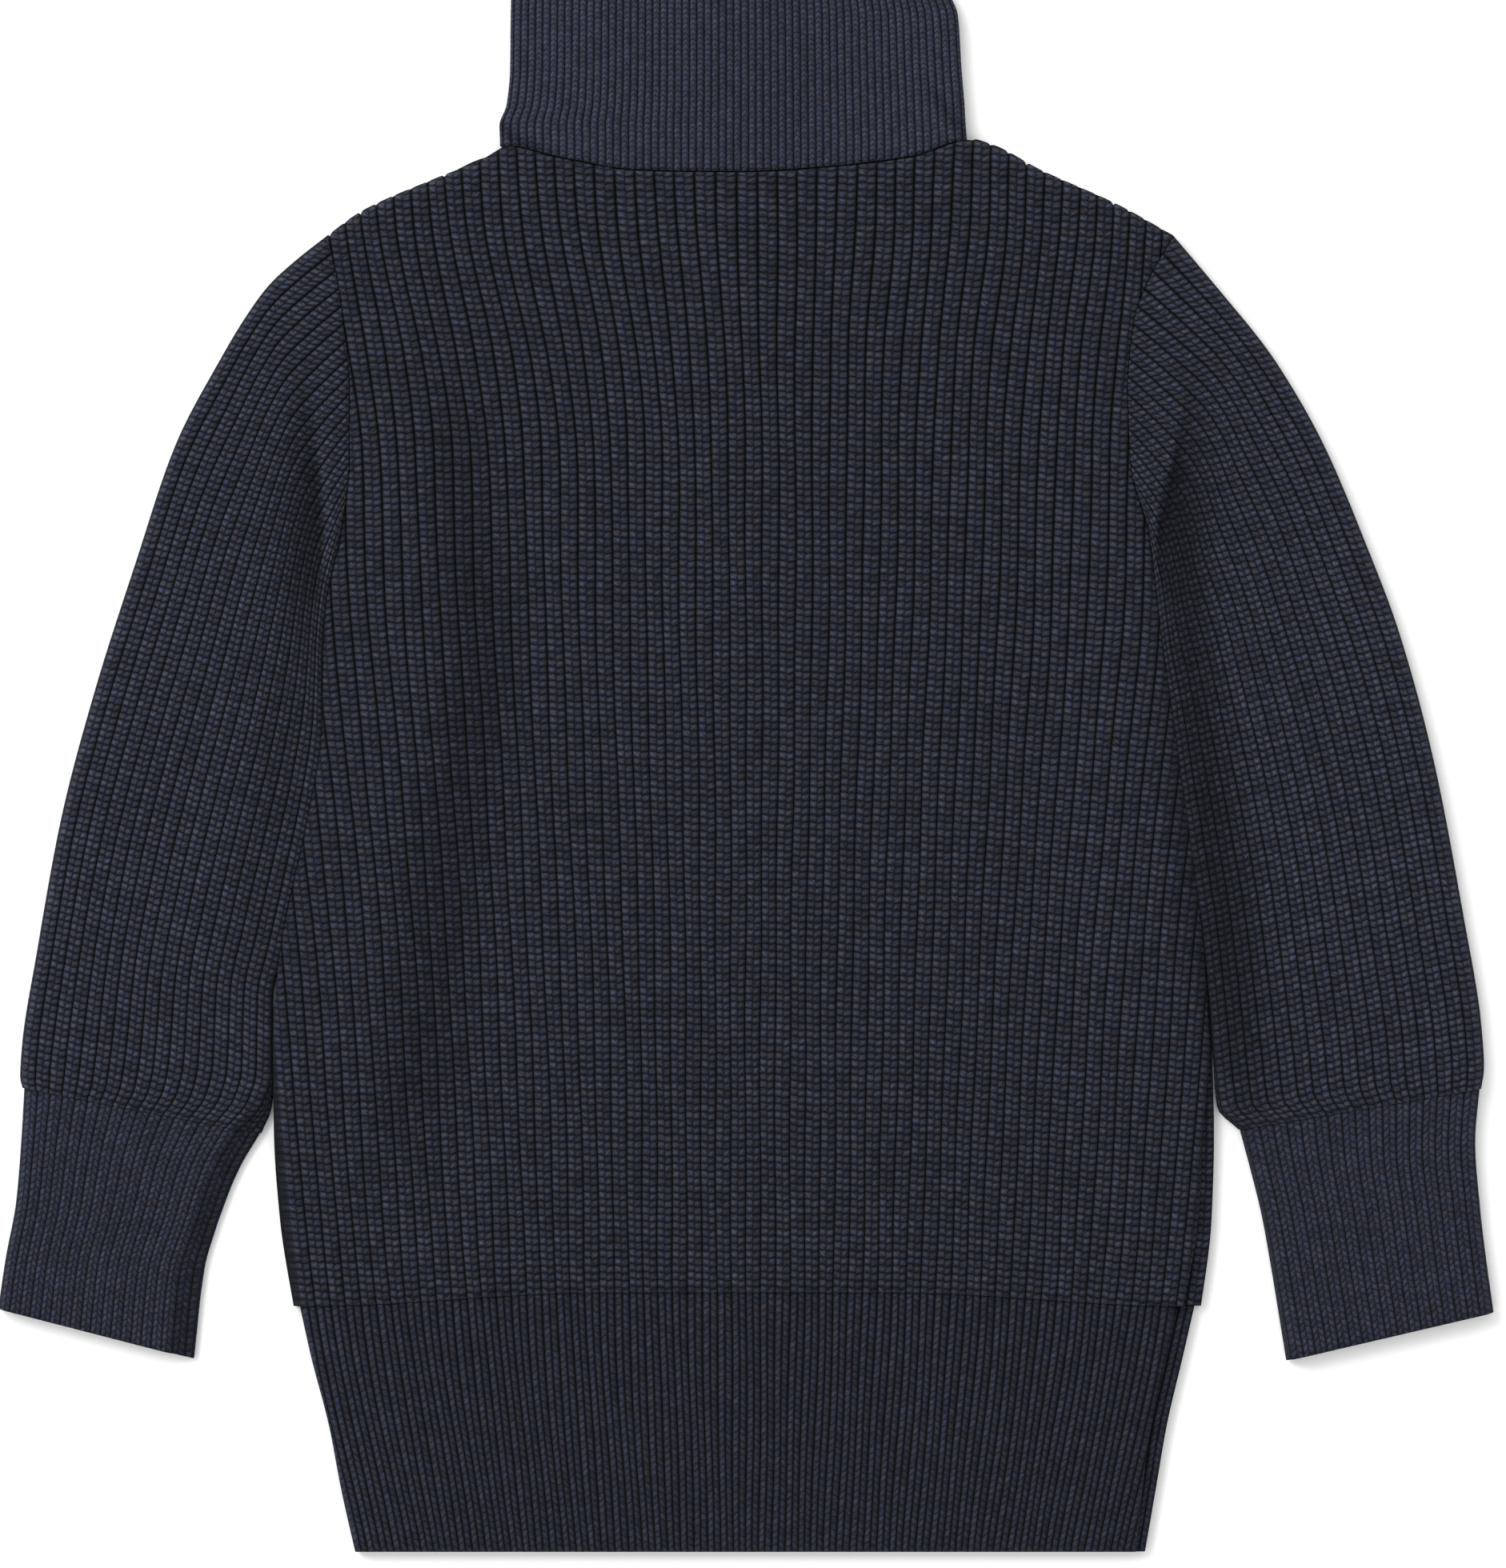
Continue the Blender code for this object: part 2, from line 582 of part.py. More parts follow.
def build_tube(name, sections, side, shape, rib_height, material, seam=False):
    """A flattened tube from its outer and inner edges: a ribbed upper face over a plain inside,
    a flat lower face and rounded folds. With seam, its first row follows the armhole."""
    k, rib = rib_places(SLEEVE_RIBS, shape)
    share = k / SLEEVE_RIBS
    flat_at = (0.96, 0.8, 0.6, 0.4, 0.2, 0.04)
    slot_at = (0.05, 0.35, 0.65, 0.94)
    outer, inner = [], []
    for line, ledge, full in tube_rows(sections, side, share, seam):
        width = np.linalg.norm(line[-1] - line[0])
        across = (line[-1] - line[0]) / width
        reach = np.minimum(share, 1 - share) * width
        curl = roundness(reach + 0.4, EDGE_ROUND)
        z = TUBE_EDGE + (TUBE_TOP - TUBE_EDGE) * curl * (0.7 + 0.3 * full) + rib_height * rib * curl * full
        ring = [*np.column_stack([line, z])]
        for out, part, height in zip(TUBE_SIDE["out"], TUBE_SIDE["ledge"], TUBE_SIDE["z"], strict=True):
            ring.append((*(line[-1] + across * (out + part * ledge)), height))
        ring += [(*place_on(line, share, t), 0.0) for t in flat_at]
        ring += [(*(line[0] - across * out), height) for out, height in zip(*TUBE_FOLD.values(), strict=True)]
        outer.append(ring)
        inner.append(
            [(*place_on(line, share, t), SLOT_HIGH) for t in slot_at]
            + [(*place_on(line, share, t), SLOT_LOW) for t in slot_at[::-1]]
        )
    outer, inner = np.array(outer), np.array(inner)
    for grid in (outer, inner):
        grid[:, :, 0] = body_clear(grid[:, :, 0], grid[:, :, 1], side)
    more = outer.shape[1] - len(share) + 1
    outer_at = np.concatenate([share, 1 + np.arange(1, more + 1) / more])
    inner_at = np.array([0.0, 0.35, 0.65, 1.0, 1.4, 1.6, 1.8, 1.95, 2.0])
    return wall(name, outer, outer_at, inner, inner_at, material, ring=True)


def collar_under(x, y):
    """Underside of the collar's back half."""
    return BACK_UNDER + zip_lift(x, y) + slider_lift(x, y)


def collar_front(x_low, part, side):
    """A place on the collar's front half, from its neck edge at x_low; part is 0 there, 1 on top."""
    low = float(read(TOP_EDGE, "front", x_low, along="x")) + 2 * SEAM_GAP
    y = low + part * (COLLAR_TOP - low)
    slit = ZIP_X + side * SLIT_HALF
    edge_low = NECK_LEFT[-1] if side < 0 else NECK_RIGHT[-1]
    edge = float(read(COLLAR_SIDES, "left" if side < 0 else "right", y)) - side * FOLD_WIDTH
    return slit + (x_low - slit) / (edge_low - slit) * (edge - slit), y


def collar_back(share, part):
    """Places on the collar's back half, share of the way from left to right."""
    share = np.asarray(share)
    x_low = np.clip(COLLAR_LEFT + (COLLAR_RIGHT - COLLAR_LEFT) * share, *COLLAR_NECK)
    low = read(TOP_EDGE, "back", x_low, along="x") + SEAM_GAP
    y = low + part * (COLLAR_TOP - low)
    left, right = read(COLLAR_SIDES, "left", y), read(COLLAR_SIDES, "right", y)
    x = left + COLLAR_INSET + (right - left - 2 * COLLAR_INSET) * share
    return x, y, np.minimum(x - left, right - x)


def collar_fold(part, side):
    """Points down a fold of the collar from the upper half to the lower, and the one inside it."""
    _, y, _ = collar_back(0.0 if side < 0 else 1.0, part)
    edge = read(COLLAR_SIDES, "left" if side < 0 else "right", y)
    outer = [(edge - side * inward, y, z) for inward, z in zip(*COLLAR_FOLD.values(), strict=True)]
    return outer[::-1], [(edge - side * FOLD_WIDTH, y, PLY + 0.2)]


def build_collar(material):
    """The stand collar: one wall from the zip round the left fold, the back and the right fold
    back to the zip, with fine ribs on its back half."""
    k, rib = rib_places(COLLAR_RIBS, FINE)
    share = k / COLLAR_RIBS
    outer, inner = [], []
    for part in COLLAR_ROWS:
        left = [collar_front(x, part, -1) for x in NECK_LEFT]
        right = [collar_front(x, part, 1) for x in NECK_RIGHT[::-1]]
        left_fold, left_inside = collar_fold(part, -1)
        right_fold, right_inside = collar_fold(part, 1)
        x, y, side = collar_back(share, part)
        full = roundness(side, EDGE_ROUND) * (END_FULL if part in (0, 1) else 1)
        z = collar_under(x, y) + EDGE_PLY + (COLLAR_PLY - EDGE_PLY + COLLAR_RIB * rib) * full
        outer.append([
            *[(*place, 0.0) for place in left], *left_fold[::-1],
            *np.stack([x, y, z], axis=1),
            *right_fold, *[(*place, 0.0) for place in right],
        ])
        x, y, _ = collar_back(np.array(COLLAR_INSIDE), part)
        y = y + (SEAM_BEVEL if part == 0 else 0)
        inner.append([
            *[(*place, PLY) for place in left], *left_inside,
            *np.stack([x, y, collar_under(x, y)], axis=1),
            *right_inside, *[(*place, PLY) for place in right],
        ])
    front = 0.01 * np.arange(4)
    fold = 0.035 + 0.005 * np.arange(4)
    outer_at = np.concatenate([front, fold, 0.06 + 0.88 * share, 1 - fold[::-1], 1 - front[::-1]])
    inside = 0.06 + 0.88 * np.array(COLLAR_INSIDE)
    inner_at = np.concatenate([front, [0.045], inside, [0.955], 1 - front[::-1]])
    return wall("collar", np.array(outer), outer_at, np.array(inner), inner_at, material)


def block(name, spans, middle, material):
    """A box from its spans in X, Y and Z, in millimetres from this middle."""
    corners = [(x, y, z) for x in spans[0] for y in spans[1] for z in spans[2]]
    faces = [(0, 1, 3, 2), (4, 6, 7, 5), (0, 4, 5, 1), (2, 3, 7, 6), (0, 2, 6, 4), (1, 5, 7, 3)]
    obj = add_object(name, np.array(corners) + middle, faces, material)
    obj.data.shade_flat()
    return obj


def combine(obj, other, operation):
    """Adds or cuts another object, which stays as a hidden helper."""
    modifier = obj.modifiers.new(other.name, "BOOLEAN")
    modifier.operation = operation
    modifier.object = other
    other.hide_render = True
    other.display_type = "WIRE"


def build_tape(name, side, material):
    """One woven zip tape with half of the closed row of teeth as a bead along its inner edge."""
    profile = (
        (0.0, BEAD_UNDER + BEAD_CHAMFER), (0.2, BEAD_UNDER), (0.8, BEAD_UNDER), (1.0, TAPE_UNDER),
        (None, TAPE_UNDER), (None, TAPE_OVER), (1.0, TAPE_OVER), (0.8, BEAD_OVER),
        (0.2, BEAD_OVER), (0.0, BEAD_OVER - BEAD_CHAMFER),
    )
    points = []
    for y, near, bead in zip(TAPE_ROWS["y"], TAPE_ROWS["near"], TAPE_ROWS["bead"], strict=True):
        for part, z in profile:
            x = TAPE_HALF if part is None else near + part * (BEAD_HALF - near)
            if not bead:
                z = min(max(z, TAPE_UNDER), TAPE_OVER)
            points.append((ZIP_X + side * x, y, z))
    count = len(profile)
    rows = len(points) // count
    faces = [tuple(range(count)), tuple(range(count * (rows - 1), count * rows))]
    for r in range(rows - 1):
        for n in range(count):
            m = (n + 1) % count
            faces.append((r * count + n, r * count + m, (r + 1) * count + m, (r + 1) * count + n))
    return add_object(name, points, faces, material)


def build_slider(material):
    """The slider: two wings joined by a post, flanges beside the teeth, and a bail for the pull."""
    middle = (ZIP_X, PULL_AXIS_Y, 0)
    slider = block("zip_slider", SLIDER_BLOCKS[0], middle, material)
    for spans in SLIDER_BLOCKS[1:]:
        combine(slider, block("slider_block", spans, middle, material), "UNION")


def build_pull(material):
    """The pull tab: a flat plate with an eye for the bail, turning on the bar above the eye."""
    x = np.concatenate([PULL_OUTLINE["x"], -PULL_OUTLINE["x"][::-1]])
    y = np.concatenate([PULL_OUTLINE["y"], PULL_OUTLINE["y"][::-1]])
    count = len(x)
    faces = [tuple(range(count)), tuple(range(count, 2 * count))]
    faces += [(n, (n + 1) % count, count + (n + 1) % count, count + n) for n in range(count)]
    faces_z = (-PULL_PLY / 2, PULL_PLY / 2)
    points = np.concatenate([np.stack([x, y, np.full(count, z)], axis=1) for z in faces_z])
    middle = (ZIP_X, PULL_AXIS_Y, PULL_AXIS_Z)
    pull = add_object("pull_tab", points + middle, faces, material)
    combine(pull, block("eye", PULL_EYE, middle, material), "DIFFERENCE")


def main():
    for obj in list(bpy.data.objects):
        bpy.data.objects.remove(obj, do_unlink=True)
    body_yarn = plain("navy_rib_yarn", (0.022, 0.025, 0.036))
    rib_yarn = plain("navy_fine_rib_yarn", (0.027, 0.030, 0.044))
    tape = plain("zip_tape", (0.012, 0.013, 0.017), 0.8)
    metal = plain("dark_nickel", (0.20, 0.20, 0.21), 0.32, 1.0)
    build_front(body_yarn)
    build_front_hem(rib_yarn)
    build_back(body_yarn)
    build_back_hem(rib_yarn)
    build_tube("sleeve_left", LEFT_SLEEVE, -1, CHUNKY, SLEEVE_RIB, body_yarn, seam=True)
    build_tube("sleeve_right", RIGHT_SLEEVE, 1, CHUNKY, SLEEVE_RIB, body_yarn, seam=True)
    build_tube("cuff_left", LEFT_CUFF, -1, ROUNDED, CUFF_RIB, rib_yarn)
    build_tube("cuff_right", RIGHT_CUFF, 1, ROUNDED, CUFF_RIB, rib_yarn)
    build_collar(rib_yarn)
    for side, word in ((-1, "left"), (1, "right")):
        build_tape(f"zip_tape_{word}", side, tape)
    build_slider(metal)
    build_pull(metal)


main()
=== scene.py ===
"""How the quarter-zip sweater looks: knitted cloth on the form of its solids, seen from straight above.

Each knitted piece is a thin wall with finer rows and columns than its solid. It carries its ribs
and courses as texture coordinates, from which the yarn's material works out every stitch. Sizes
are in millimetres: X points to the wearer's right sleeve, Y to the collar. The tables follow the
part's, but the right sleeve starts nearer the body, most ribs are lower and seams are closed.
"""

import math
from functools import partial, partialmethod

import bmesh
import bpy
import numpy as np
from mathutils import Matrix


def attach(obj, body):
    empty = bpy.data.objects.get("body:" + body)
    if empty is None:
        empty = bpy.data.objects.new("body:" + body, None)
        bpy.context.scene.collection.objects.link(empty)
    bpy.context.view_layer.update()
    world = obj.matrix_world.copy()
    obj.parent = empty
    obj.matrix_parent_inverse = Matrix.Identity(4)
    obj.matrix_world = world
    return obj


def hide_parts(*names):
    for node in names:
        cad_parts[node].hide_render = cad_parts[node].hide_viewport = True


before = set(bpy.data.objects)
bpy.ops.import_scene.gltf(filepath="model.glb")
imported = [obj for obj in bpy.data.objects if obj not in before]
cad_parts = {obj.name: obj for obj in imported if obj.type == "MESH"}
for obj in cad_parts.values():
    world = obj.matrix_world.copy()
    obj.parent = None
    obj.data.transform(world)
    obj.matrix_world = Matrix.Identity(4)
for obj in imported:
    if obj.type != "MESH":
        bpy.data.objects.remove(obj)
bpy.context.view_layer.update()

MM = 0.001
MERGE = 2e-6        # points closer than this, in metres, become one
CENTRE_Y = 0.9      # where the sweater's middle lies on the tables' Y
SIDES = {-1: "left", 1: "right"}

# Gaps are negative: pieces run a little into each other, so no floor shows between them
SEAM_GAP = -0.3
SIDE_GAP = -0.5

# Heights of the layers, as in the solids
PLY = 3.3
BACK_UNDER = 3.6
BACK_PLY = 2.6
HEM_PLY = 2.3
COLLAR_PLY = 2.3
TUBE_TOP = 6.2
TUBE_EDGE = 3.9
SLOT_LOW, SLOT_HIGH = 3.0, 3.4
EDGE_PLY = 0.9      # a wall's thickness at its very edge
EDGE_ROUND = 4.5    # how far in a free edge is rounded, and a seam
SEAM_ROUND = 2.0
SEAM_BEVEL = 1.2
UNDER_RELIEF = 0.7  # how deep the grooves are on the sides that face down

# Ribs: height above the grooves, number across, and how flat the top of a rib is
BODY_RIB = 0.85
SLEEVE_RIB = 0.8
HEM_RIB = 0.5
CUFF_RIB = 0.4
COLLAR_RIB = 0.5
BODY_RIBS = 60
SLEEVE_RIBS = 17
COLLAR_RIBS = 60
SCALLOP = 0.7       # how far the ribs' ends stand out along the shoulders
CHUNKY, ROUNDED, FINE = 9.0, 3.4, 2.0
END_FULL = 0.82     # share of its height that a wall keeps at a seam
LEDGE_RIBS = 1.4    # ribs on the ledge of a tube's lower layer
CUFF_LAP = 1.0      # how far a cuff reaches into its sleeve
UP_PLACES = (0.0, 0.06, 0.15, 0.32, 0.5, 0.68, 0.85, 0.94)  # columns of points in a rib that faces up
UNDER_PLACES = (0.0, 0.15, 0.5, 0.85)                       # and in one that faces down
EVEN_PLACES = (0.0, 0.25, 0.5, 0.75)
THIRD_PLACES = (0.0, 1 / 3, 2 / 3)
COLLAR_FRONT_RIBS = 28

# Rows of points along each piece; panels have some below the underarm or the slit, and some above
BACK_ROWS = (118, 66)
FRONT_ROWS = (80, 40)
BACK_HEM_ROWS = 44
FRONT_HEM_ROWS = 26
SLEEVE_ROWS = 118
CUFF_ROWS = 36
COLLAR_ROWS = 40
TAPE_ROWS, TAPE_COLUMNS = 90, 9

# Courses of stitches: millimetres from one to the next
BODY_COURSE_LOW, BODY_COURSE_HIGH = 2.48, 2.27
SLEEVE_COURSE = 2.35
RIB_COURSE = 2.3
COLLAR_COURSE = 1.75

# Zip, measured from its centre line
ZIP_X = -3.5
ZIP_BOTTOM = 82.0
SLIT_HALF = 4.6
TAPE_UNDER, TAPE_OVER = 3.6, 4.2
TAPE_NEAR, TAPE_FAR = 1.3, 12.6
TAPE_LOW, TAPE_TOP = 78.0, 261.5
TOOTH_UNDER, TOOTH_OVER = 3.0, 4.8
TOOTH_PITCH = 1.5
TEETH_LOW, TEETH_TOP = 83.6, 245.5
TOOTH_CORNERS = 8
# Rings of points along a tooth: distance out, share of its height, and half its width
TOOTH_RINGS = ((-0.45, 0.55, 0.42), (0.1, 0.9, 0.56), (1.4, 1.0, 0.5), (2.3, 0.75, 0.42))
PULL_AXIS_Y = 251.5
ZIP_LIFT = 1.6
SLIDER_LIFT = 0.9

HEM_BOTTOM = -262.3
HEM_LINE, HEM_LINE_DROP = -174.5, 4.7
UNDERARM_Y = 81.0
SHOULDER_TIP_Y = 181.0
COLLAR_TOP = 264.1
SEAM_TOP = 181.4
NECK_CORNERS = (-82.0, 76.5)

# The camera looks straight down on this middle; the frame is this tall at this height
VIEW_MIDDLE = (2.4, -4.1)
VIEW_TALL, VIEW_HEIGHT = 529.2, 4.0
LENS, SENSOR = 150.0, 36.0


def table(columns, *rows):
    """A dict with one array for each named column."""
    return dict(zip(columns.split(), np.array(rows, float).T, strict=True))


# Body edges from the hem's top to the shoulder tips; front is the front panel's edge at the right
BODY_SIDES = table(
    "y left right front",
    (-184, -151.8, 146.8, 153.0),
    (-150, -157.2, 152.6, 157.2),
    (-122, -159.2, 154.2, 158.0),
    (-94, -159.6, 156.4, 157.3),
    (-58, -157.3, 154.4, 154.8),
    (-20, -149.5, 150.0, 150.2),
    (18, -143.2, 144.7, 144.7),
    (52, -142.6, 140.1, 140.1),
    (81, -137.2, 136.5, 136.5),
    (104, -134.3, 130.4, 130.4),
    (130, -134.2, 129.3, 129.3),
    (152, -136.2, 131.2, 131.2),
    (168, -138.6, 137.0, 137.0),
    (181, -141.5, 144.5, 144.5),
)
HEM_SIDES = table(
    "y left right front",
    (-262.3, -131.8, 131.5, 134.7),
    (-241, -136.6, 133.9, 138.4),
    (-220, -140.6, 136.5, 142.0),
    (-196, -146.8, 141.4, 147.6),
    (-174, -151.6, 146.6, 152.6),
)

# Upper outline from shoulder tip to shoulder tip: back is the back neck, front the front neck
TOP_EDGE = table(
    "x back front",
    (-141.5, 181.0, 181.0),
    (-129.0, 189.8, 189.8),
    (-104.5, 200.6, 200.6),
    (-85.0, 208.6, 208.6),
    (-80.0, 212.4, 205.0),
    (-64.0, 208.7, 190.0),
    (-38.0, 204.4, 176.5),
    (-3.5, 203.6, 172.0),
    (30.0, 205.6, 176.5),
    (57.0, 209.0, 190.0),
    (74.0, 214.2, 205.0),
    (83.0, 212.0, 210.6),
    (99.0, 203.6, 203.6),
    (126.0, 191.4, 191.4),
    (144.5, 181.0, 181.0),
)

# Distance between ribs on the back, at its centre and 30 ribs out from it
RIB_PITCH = table(
    "y centre side",
    (-262, 4.38, 4.40),
    (-180, 4.85, 5.15),
    (-120, 4.95, 5.50),
    (-60, 5.10, 5.70),
    (0, 5.30, 6.00),
    (60, 5.50, 6.30),
    (110, 5.60, 6.35),
    (140, 5.90, 6.20),
    (187, 6.90, 5.20),
    (214, 7.10, 5.00),
)
COLLAR_SIDES = table(
    "y left right",
    (165, -83.4, 74.6),
    (213, -83.0, 74.6),
    (219, -83.2, 74.2),
    (226, -80.8, 73.8),
    (238, -79.6, 72.8),
    (256, -79.4, 71.6),
    (264.1, -79.2, 68.5),
)

# Sleeve sections from the armhole to the cuff: outer and inner edge; ledge is how far the lower
# layer stands out past the upper one at the inner edge
LEFT_SLEEVE = table(
    "out_x out_y in_x in_y ledge",
    (-160.9, 164.4, -141.5, 58, 0),
    (-176.9, 139.9, -143.0, 36, 0),
    (-192.0, 111.0, -143.0, 14, 0),
    (-205.5, 71.0, -146.0, -10, 0),
    (-219.5, 26.7, -151.0, -35, 0),
    (-230.4, -15.0, -156.5, -60, 0),
    (-238.2, -58.0, -160.0, -76, 0),
    (-243.6, -92.0, -160.2, -101, 0),
    (-244.2, -102.0, -163.6, -111.5, 3.0),
    (-243.4, -105.9, -171.0, -119.8, 7.0),
)
RIGHT_SLEEVE = table(
    "out_x out_y in_x in_y ledge",
    (163.6, 158.0, 138.6, 60, 0),
    (178.5, 138.8, 140.6, 40, 0),
    (194.0, 112.0, 144.0, 19, 0),
    (208.5, 78.0, 147.0, -4, 0),
    (220.1, 47.0, 150.5, -28, 0),
    (231.6, 4.0, 154.5, -56, 0),
    (241.4, -47.5, 157.0, -82, 0),
    (247.4, -84.0, 158.5, -99, 0),
    (248.4, -99.0, 160.5, -112.5, 0.8),
    (247.4, -106.2, 168.0, -119.6, 1.2),
)
LEFT_CUFF = table(
    "out_x out_y in_x in_y ledge",
    (-242.8, -106.6, -171.9, -120.5, 7.0),
    (-243.7, -122.0, -179.2, -133.0, 7.2),
    (-245.5, -144.0, -185.4, -150.6, 6.6),
    (-249.0, -163.0, -191.2, -168.5, 7.6),
    (-251.6, -180.4, -193.8, -195.3, 7.2),
)
RIGHT_CUFF = table(
    "out_x out_y in_x in_y ledge",
    (246.8, -106.9, 168.6, -120.3, 1.2),
    (245.4, -124.0, 171.4, -131.5, 1.0),
    (247.0, -146.0, 175.6, -148.6, 1.0),
    (249.4, -166.0, 179.2, -168.5, 1.0),
    (251.6, -181.7, 184.3, -197.4, 1.4),
)

# Profiles as distance and height, as in the solids
TUBE_SIDE = table(
    "out ledge z",
    (0.5, 0.0, 3.85),
    (0.5, 0.4, 3.5),
    (0.5, 1.0, 2.05),
    (-0.1, 1.0, 0.65),
    (-1.7, 1.0, 0.0),
)
TUBE_FOLD = table("out z", (0.2, 0.6), (0.9, 1.6), (0.8, 3.2))
COLLAR_FOLD = table("inward z", (2.4, 0.2), (0.35, 1.6), (0.0, 3.8), (0.8, 5.6))
FOLD_WIDTH = 3.2
COLLAR_INSET = 1.2
COLLAR_LEFT = COLLAR_SIDES["left"][1] + COLLAR_INSET
COLLAR_RIGHT = COLLAR_SIDES["right"][1] - COLLAR_INSET
COLLAR_NECK = (-79.0, 72.5)
COLLAR_EVEN = (-78.6, 70.4)  # where its outermost ribs would be if they ran straight
COLLAR_INSIDE = (0.03, 0.15, 0.3, 0.38, 0.44, 0.48, 0.52, 0.56, 0.6, 0.66, 0.76, 0.88, 0.97)
KNOTS = np.array((0.9, 2.2, 3.6, 6, 10, 15, 20, 25, 30))
INSIDE_RIBS = np.concatenate([-KNOTS[::-1], KNOTS])
NECK_LEFT, NECK_RIGHT = -79.5, 71.5  # X where the collar's front half meets its folds

# Folds of the cloth as it lies: lines of X, Y, how wide they are to each side and
# how high they rise, with troughs as negative heights
FOLDS = (
    ((-122, 158, 20, 0.0), (-119, 132, 24, 1.5), (-110, 84, 24, 2.2), (-103, 38, 26, 2.4),
     (-112, 0, 26, 2.0), (-122, -44, 26, 1.7), (-128, -108, 26, 1.6), (-130, -150, 20, 0.0)),
    ((-80, 120, 22, 0.0), (-74, 60, 26, -0.8), (-78, 0, 26, -0.8), (-88, -100, 24, -0.8),
     (-92, -140, 22, 0.0)),
    ((118, 120, 26, 0.0), (122, 40, 28, 0.9), (126, -60, 28, 1.0), (124, -130, 24, 0.0)),
    ((30, -130, 24, 0.0), (70, -150, 22, -0.6), (118, -158, 18, 0.0)),
    # a little fullness above the hem
    ((-140, -160, 12, 0.2), (-60, -163, 12, 0.6), (10, -162, 12, 0.4), (90, -163, 12, 0.6),
     (140, -160, 12, 0.2)),
    # the sleeves sink beside the body
    ((-150, 62, 12, 0.0), (-155, 20, 18, -1.1), (-163, -30, 20, -1.2), (-170, -80, 18, -0.8),
     (-176, -112, 12, 0.0)),
    ((148, 72, 13, -1.2), (153, 30, 17, -1.7), (160, -20, 20, -1.9), (168, -70, 20, -1.7),
     (172, -110, 14, -0.5)),
    ((-205, 40, 26, 0.0), (-215, 0, 28, 0.5), (-222, -60, 26, 0.4), (-226, -90, 20, 0.0)),
    ((200, 60, 26, 0.0), (212, 10, 28, 0.6), (222, -50, 26, 0.6), (228, -90, 20, 0.0)),
    # the sleeve's cloth folds over itself beside each armhole
    ((-142, 132, 6, 0.0), (-140.0, 110, 6, 0.8), (-139.0, 92, 5, 0.9), (-139.5, 74, 4, 0.5),
     (-141, 62, 3, 0.0)),
    ((146, 136, 8, 0.0), (141.5, 116, 7, 0.9), (137.5, 100, 6, 0.9), (135.0, 86, 4, 0.5), (136, 74, 3, 0.0)),
    # creases at the collar's base
    ((59, 232, 5, 0.0), (66, 226, 5, -0.8), (73, 216, 5, -1.1)),
    ((-66, 206, 5, 0.0), (-74, 211, 5, -0.8), (-82, 219, 4, -0.6)),
)

# Where it folds over itself the cloth drops within this distance, right of each line as it runs
STEP_ONSET = 1.4
STEPS = (
    ((-146.5, 134, 9, 0.0), (-144.6, 122, 12, -1.4), (-143.0, 107.5, 14, -2.3), (-141.4, 84, 13, -2.3),
     (-142.4, 67, 11, -1.4), (-145, 50, 10, 0.0)),
    ((140.5, 58, 10, 0.0), (137.8, 74, 11, -1.5), (138.4, 84.5, 13, -2.5), (141.4, 100.7, 14, -2.5),
     (145.3, 114, 12, -1.6), (149.6, 133, 10, 0.0)),
)

# and lies in its own shadow, painted into the yarn's colour as painted shade, which sets in within this
# distance: share of the light lost there
PAINTED_SHADE_ONSET = 1.0
PAINTED_STEP_SHADE = (
    ((-146.5, 134, 12, 0.0), (-144.6, 122, 16, 0.26), (-143.0, 107.5, 22, 0.46), (-141.4, 84, 26, 0.50),
     (-142.4, 67, 24, 0.42), (-145, 40, 20, 0.0)),
    ((140.5, 50, 20, 0.0), (137.8, 74, 26, 0.42), (138.4, 84.5, 28, 0.58), (141.4, 100.7, 27, 0.58),
     (145.3, 114, 20, 0.40), (149.6, 133, 12, 0.0)),
)
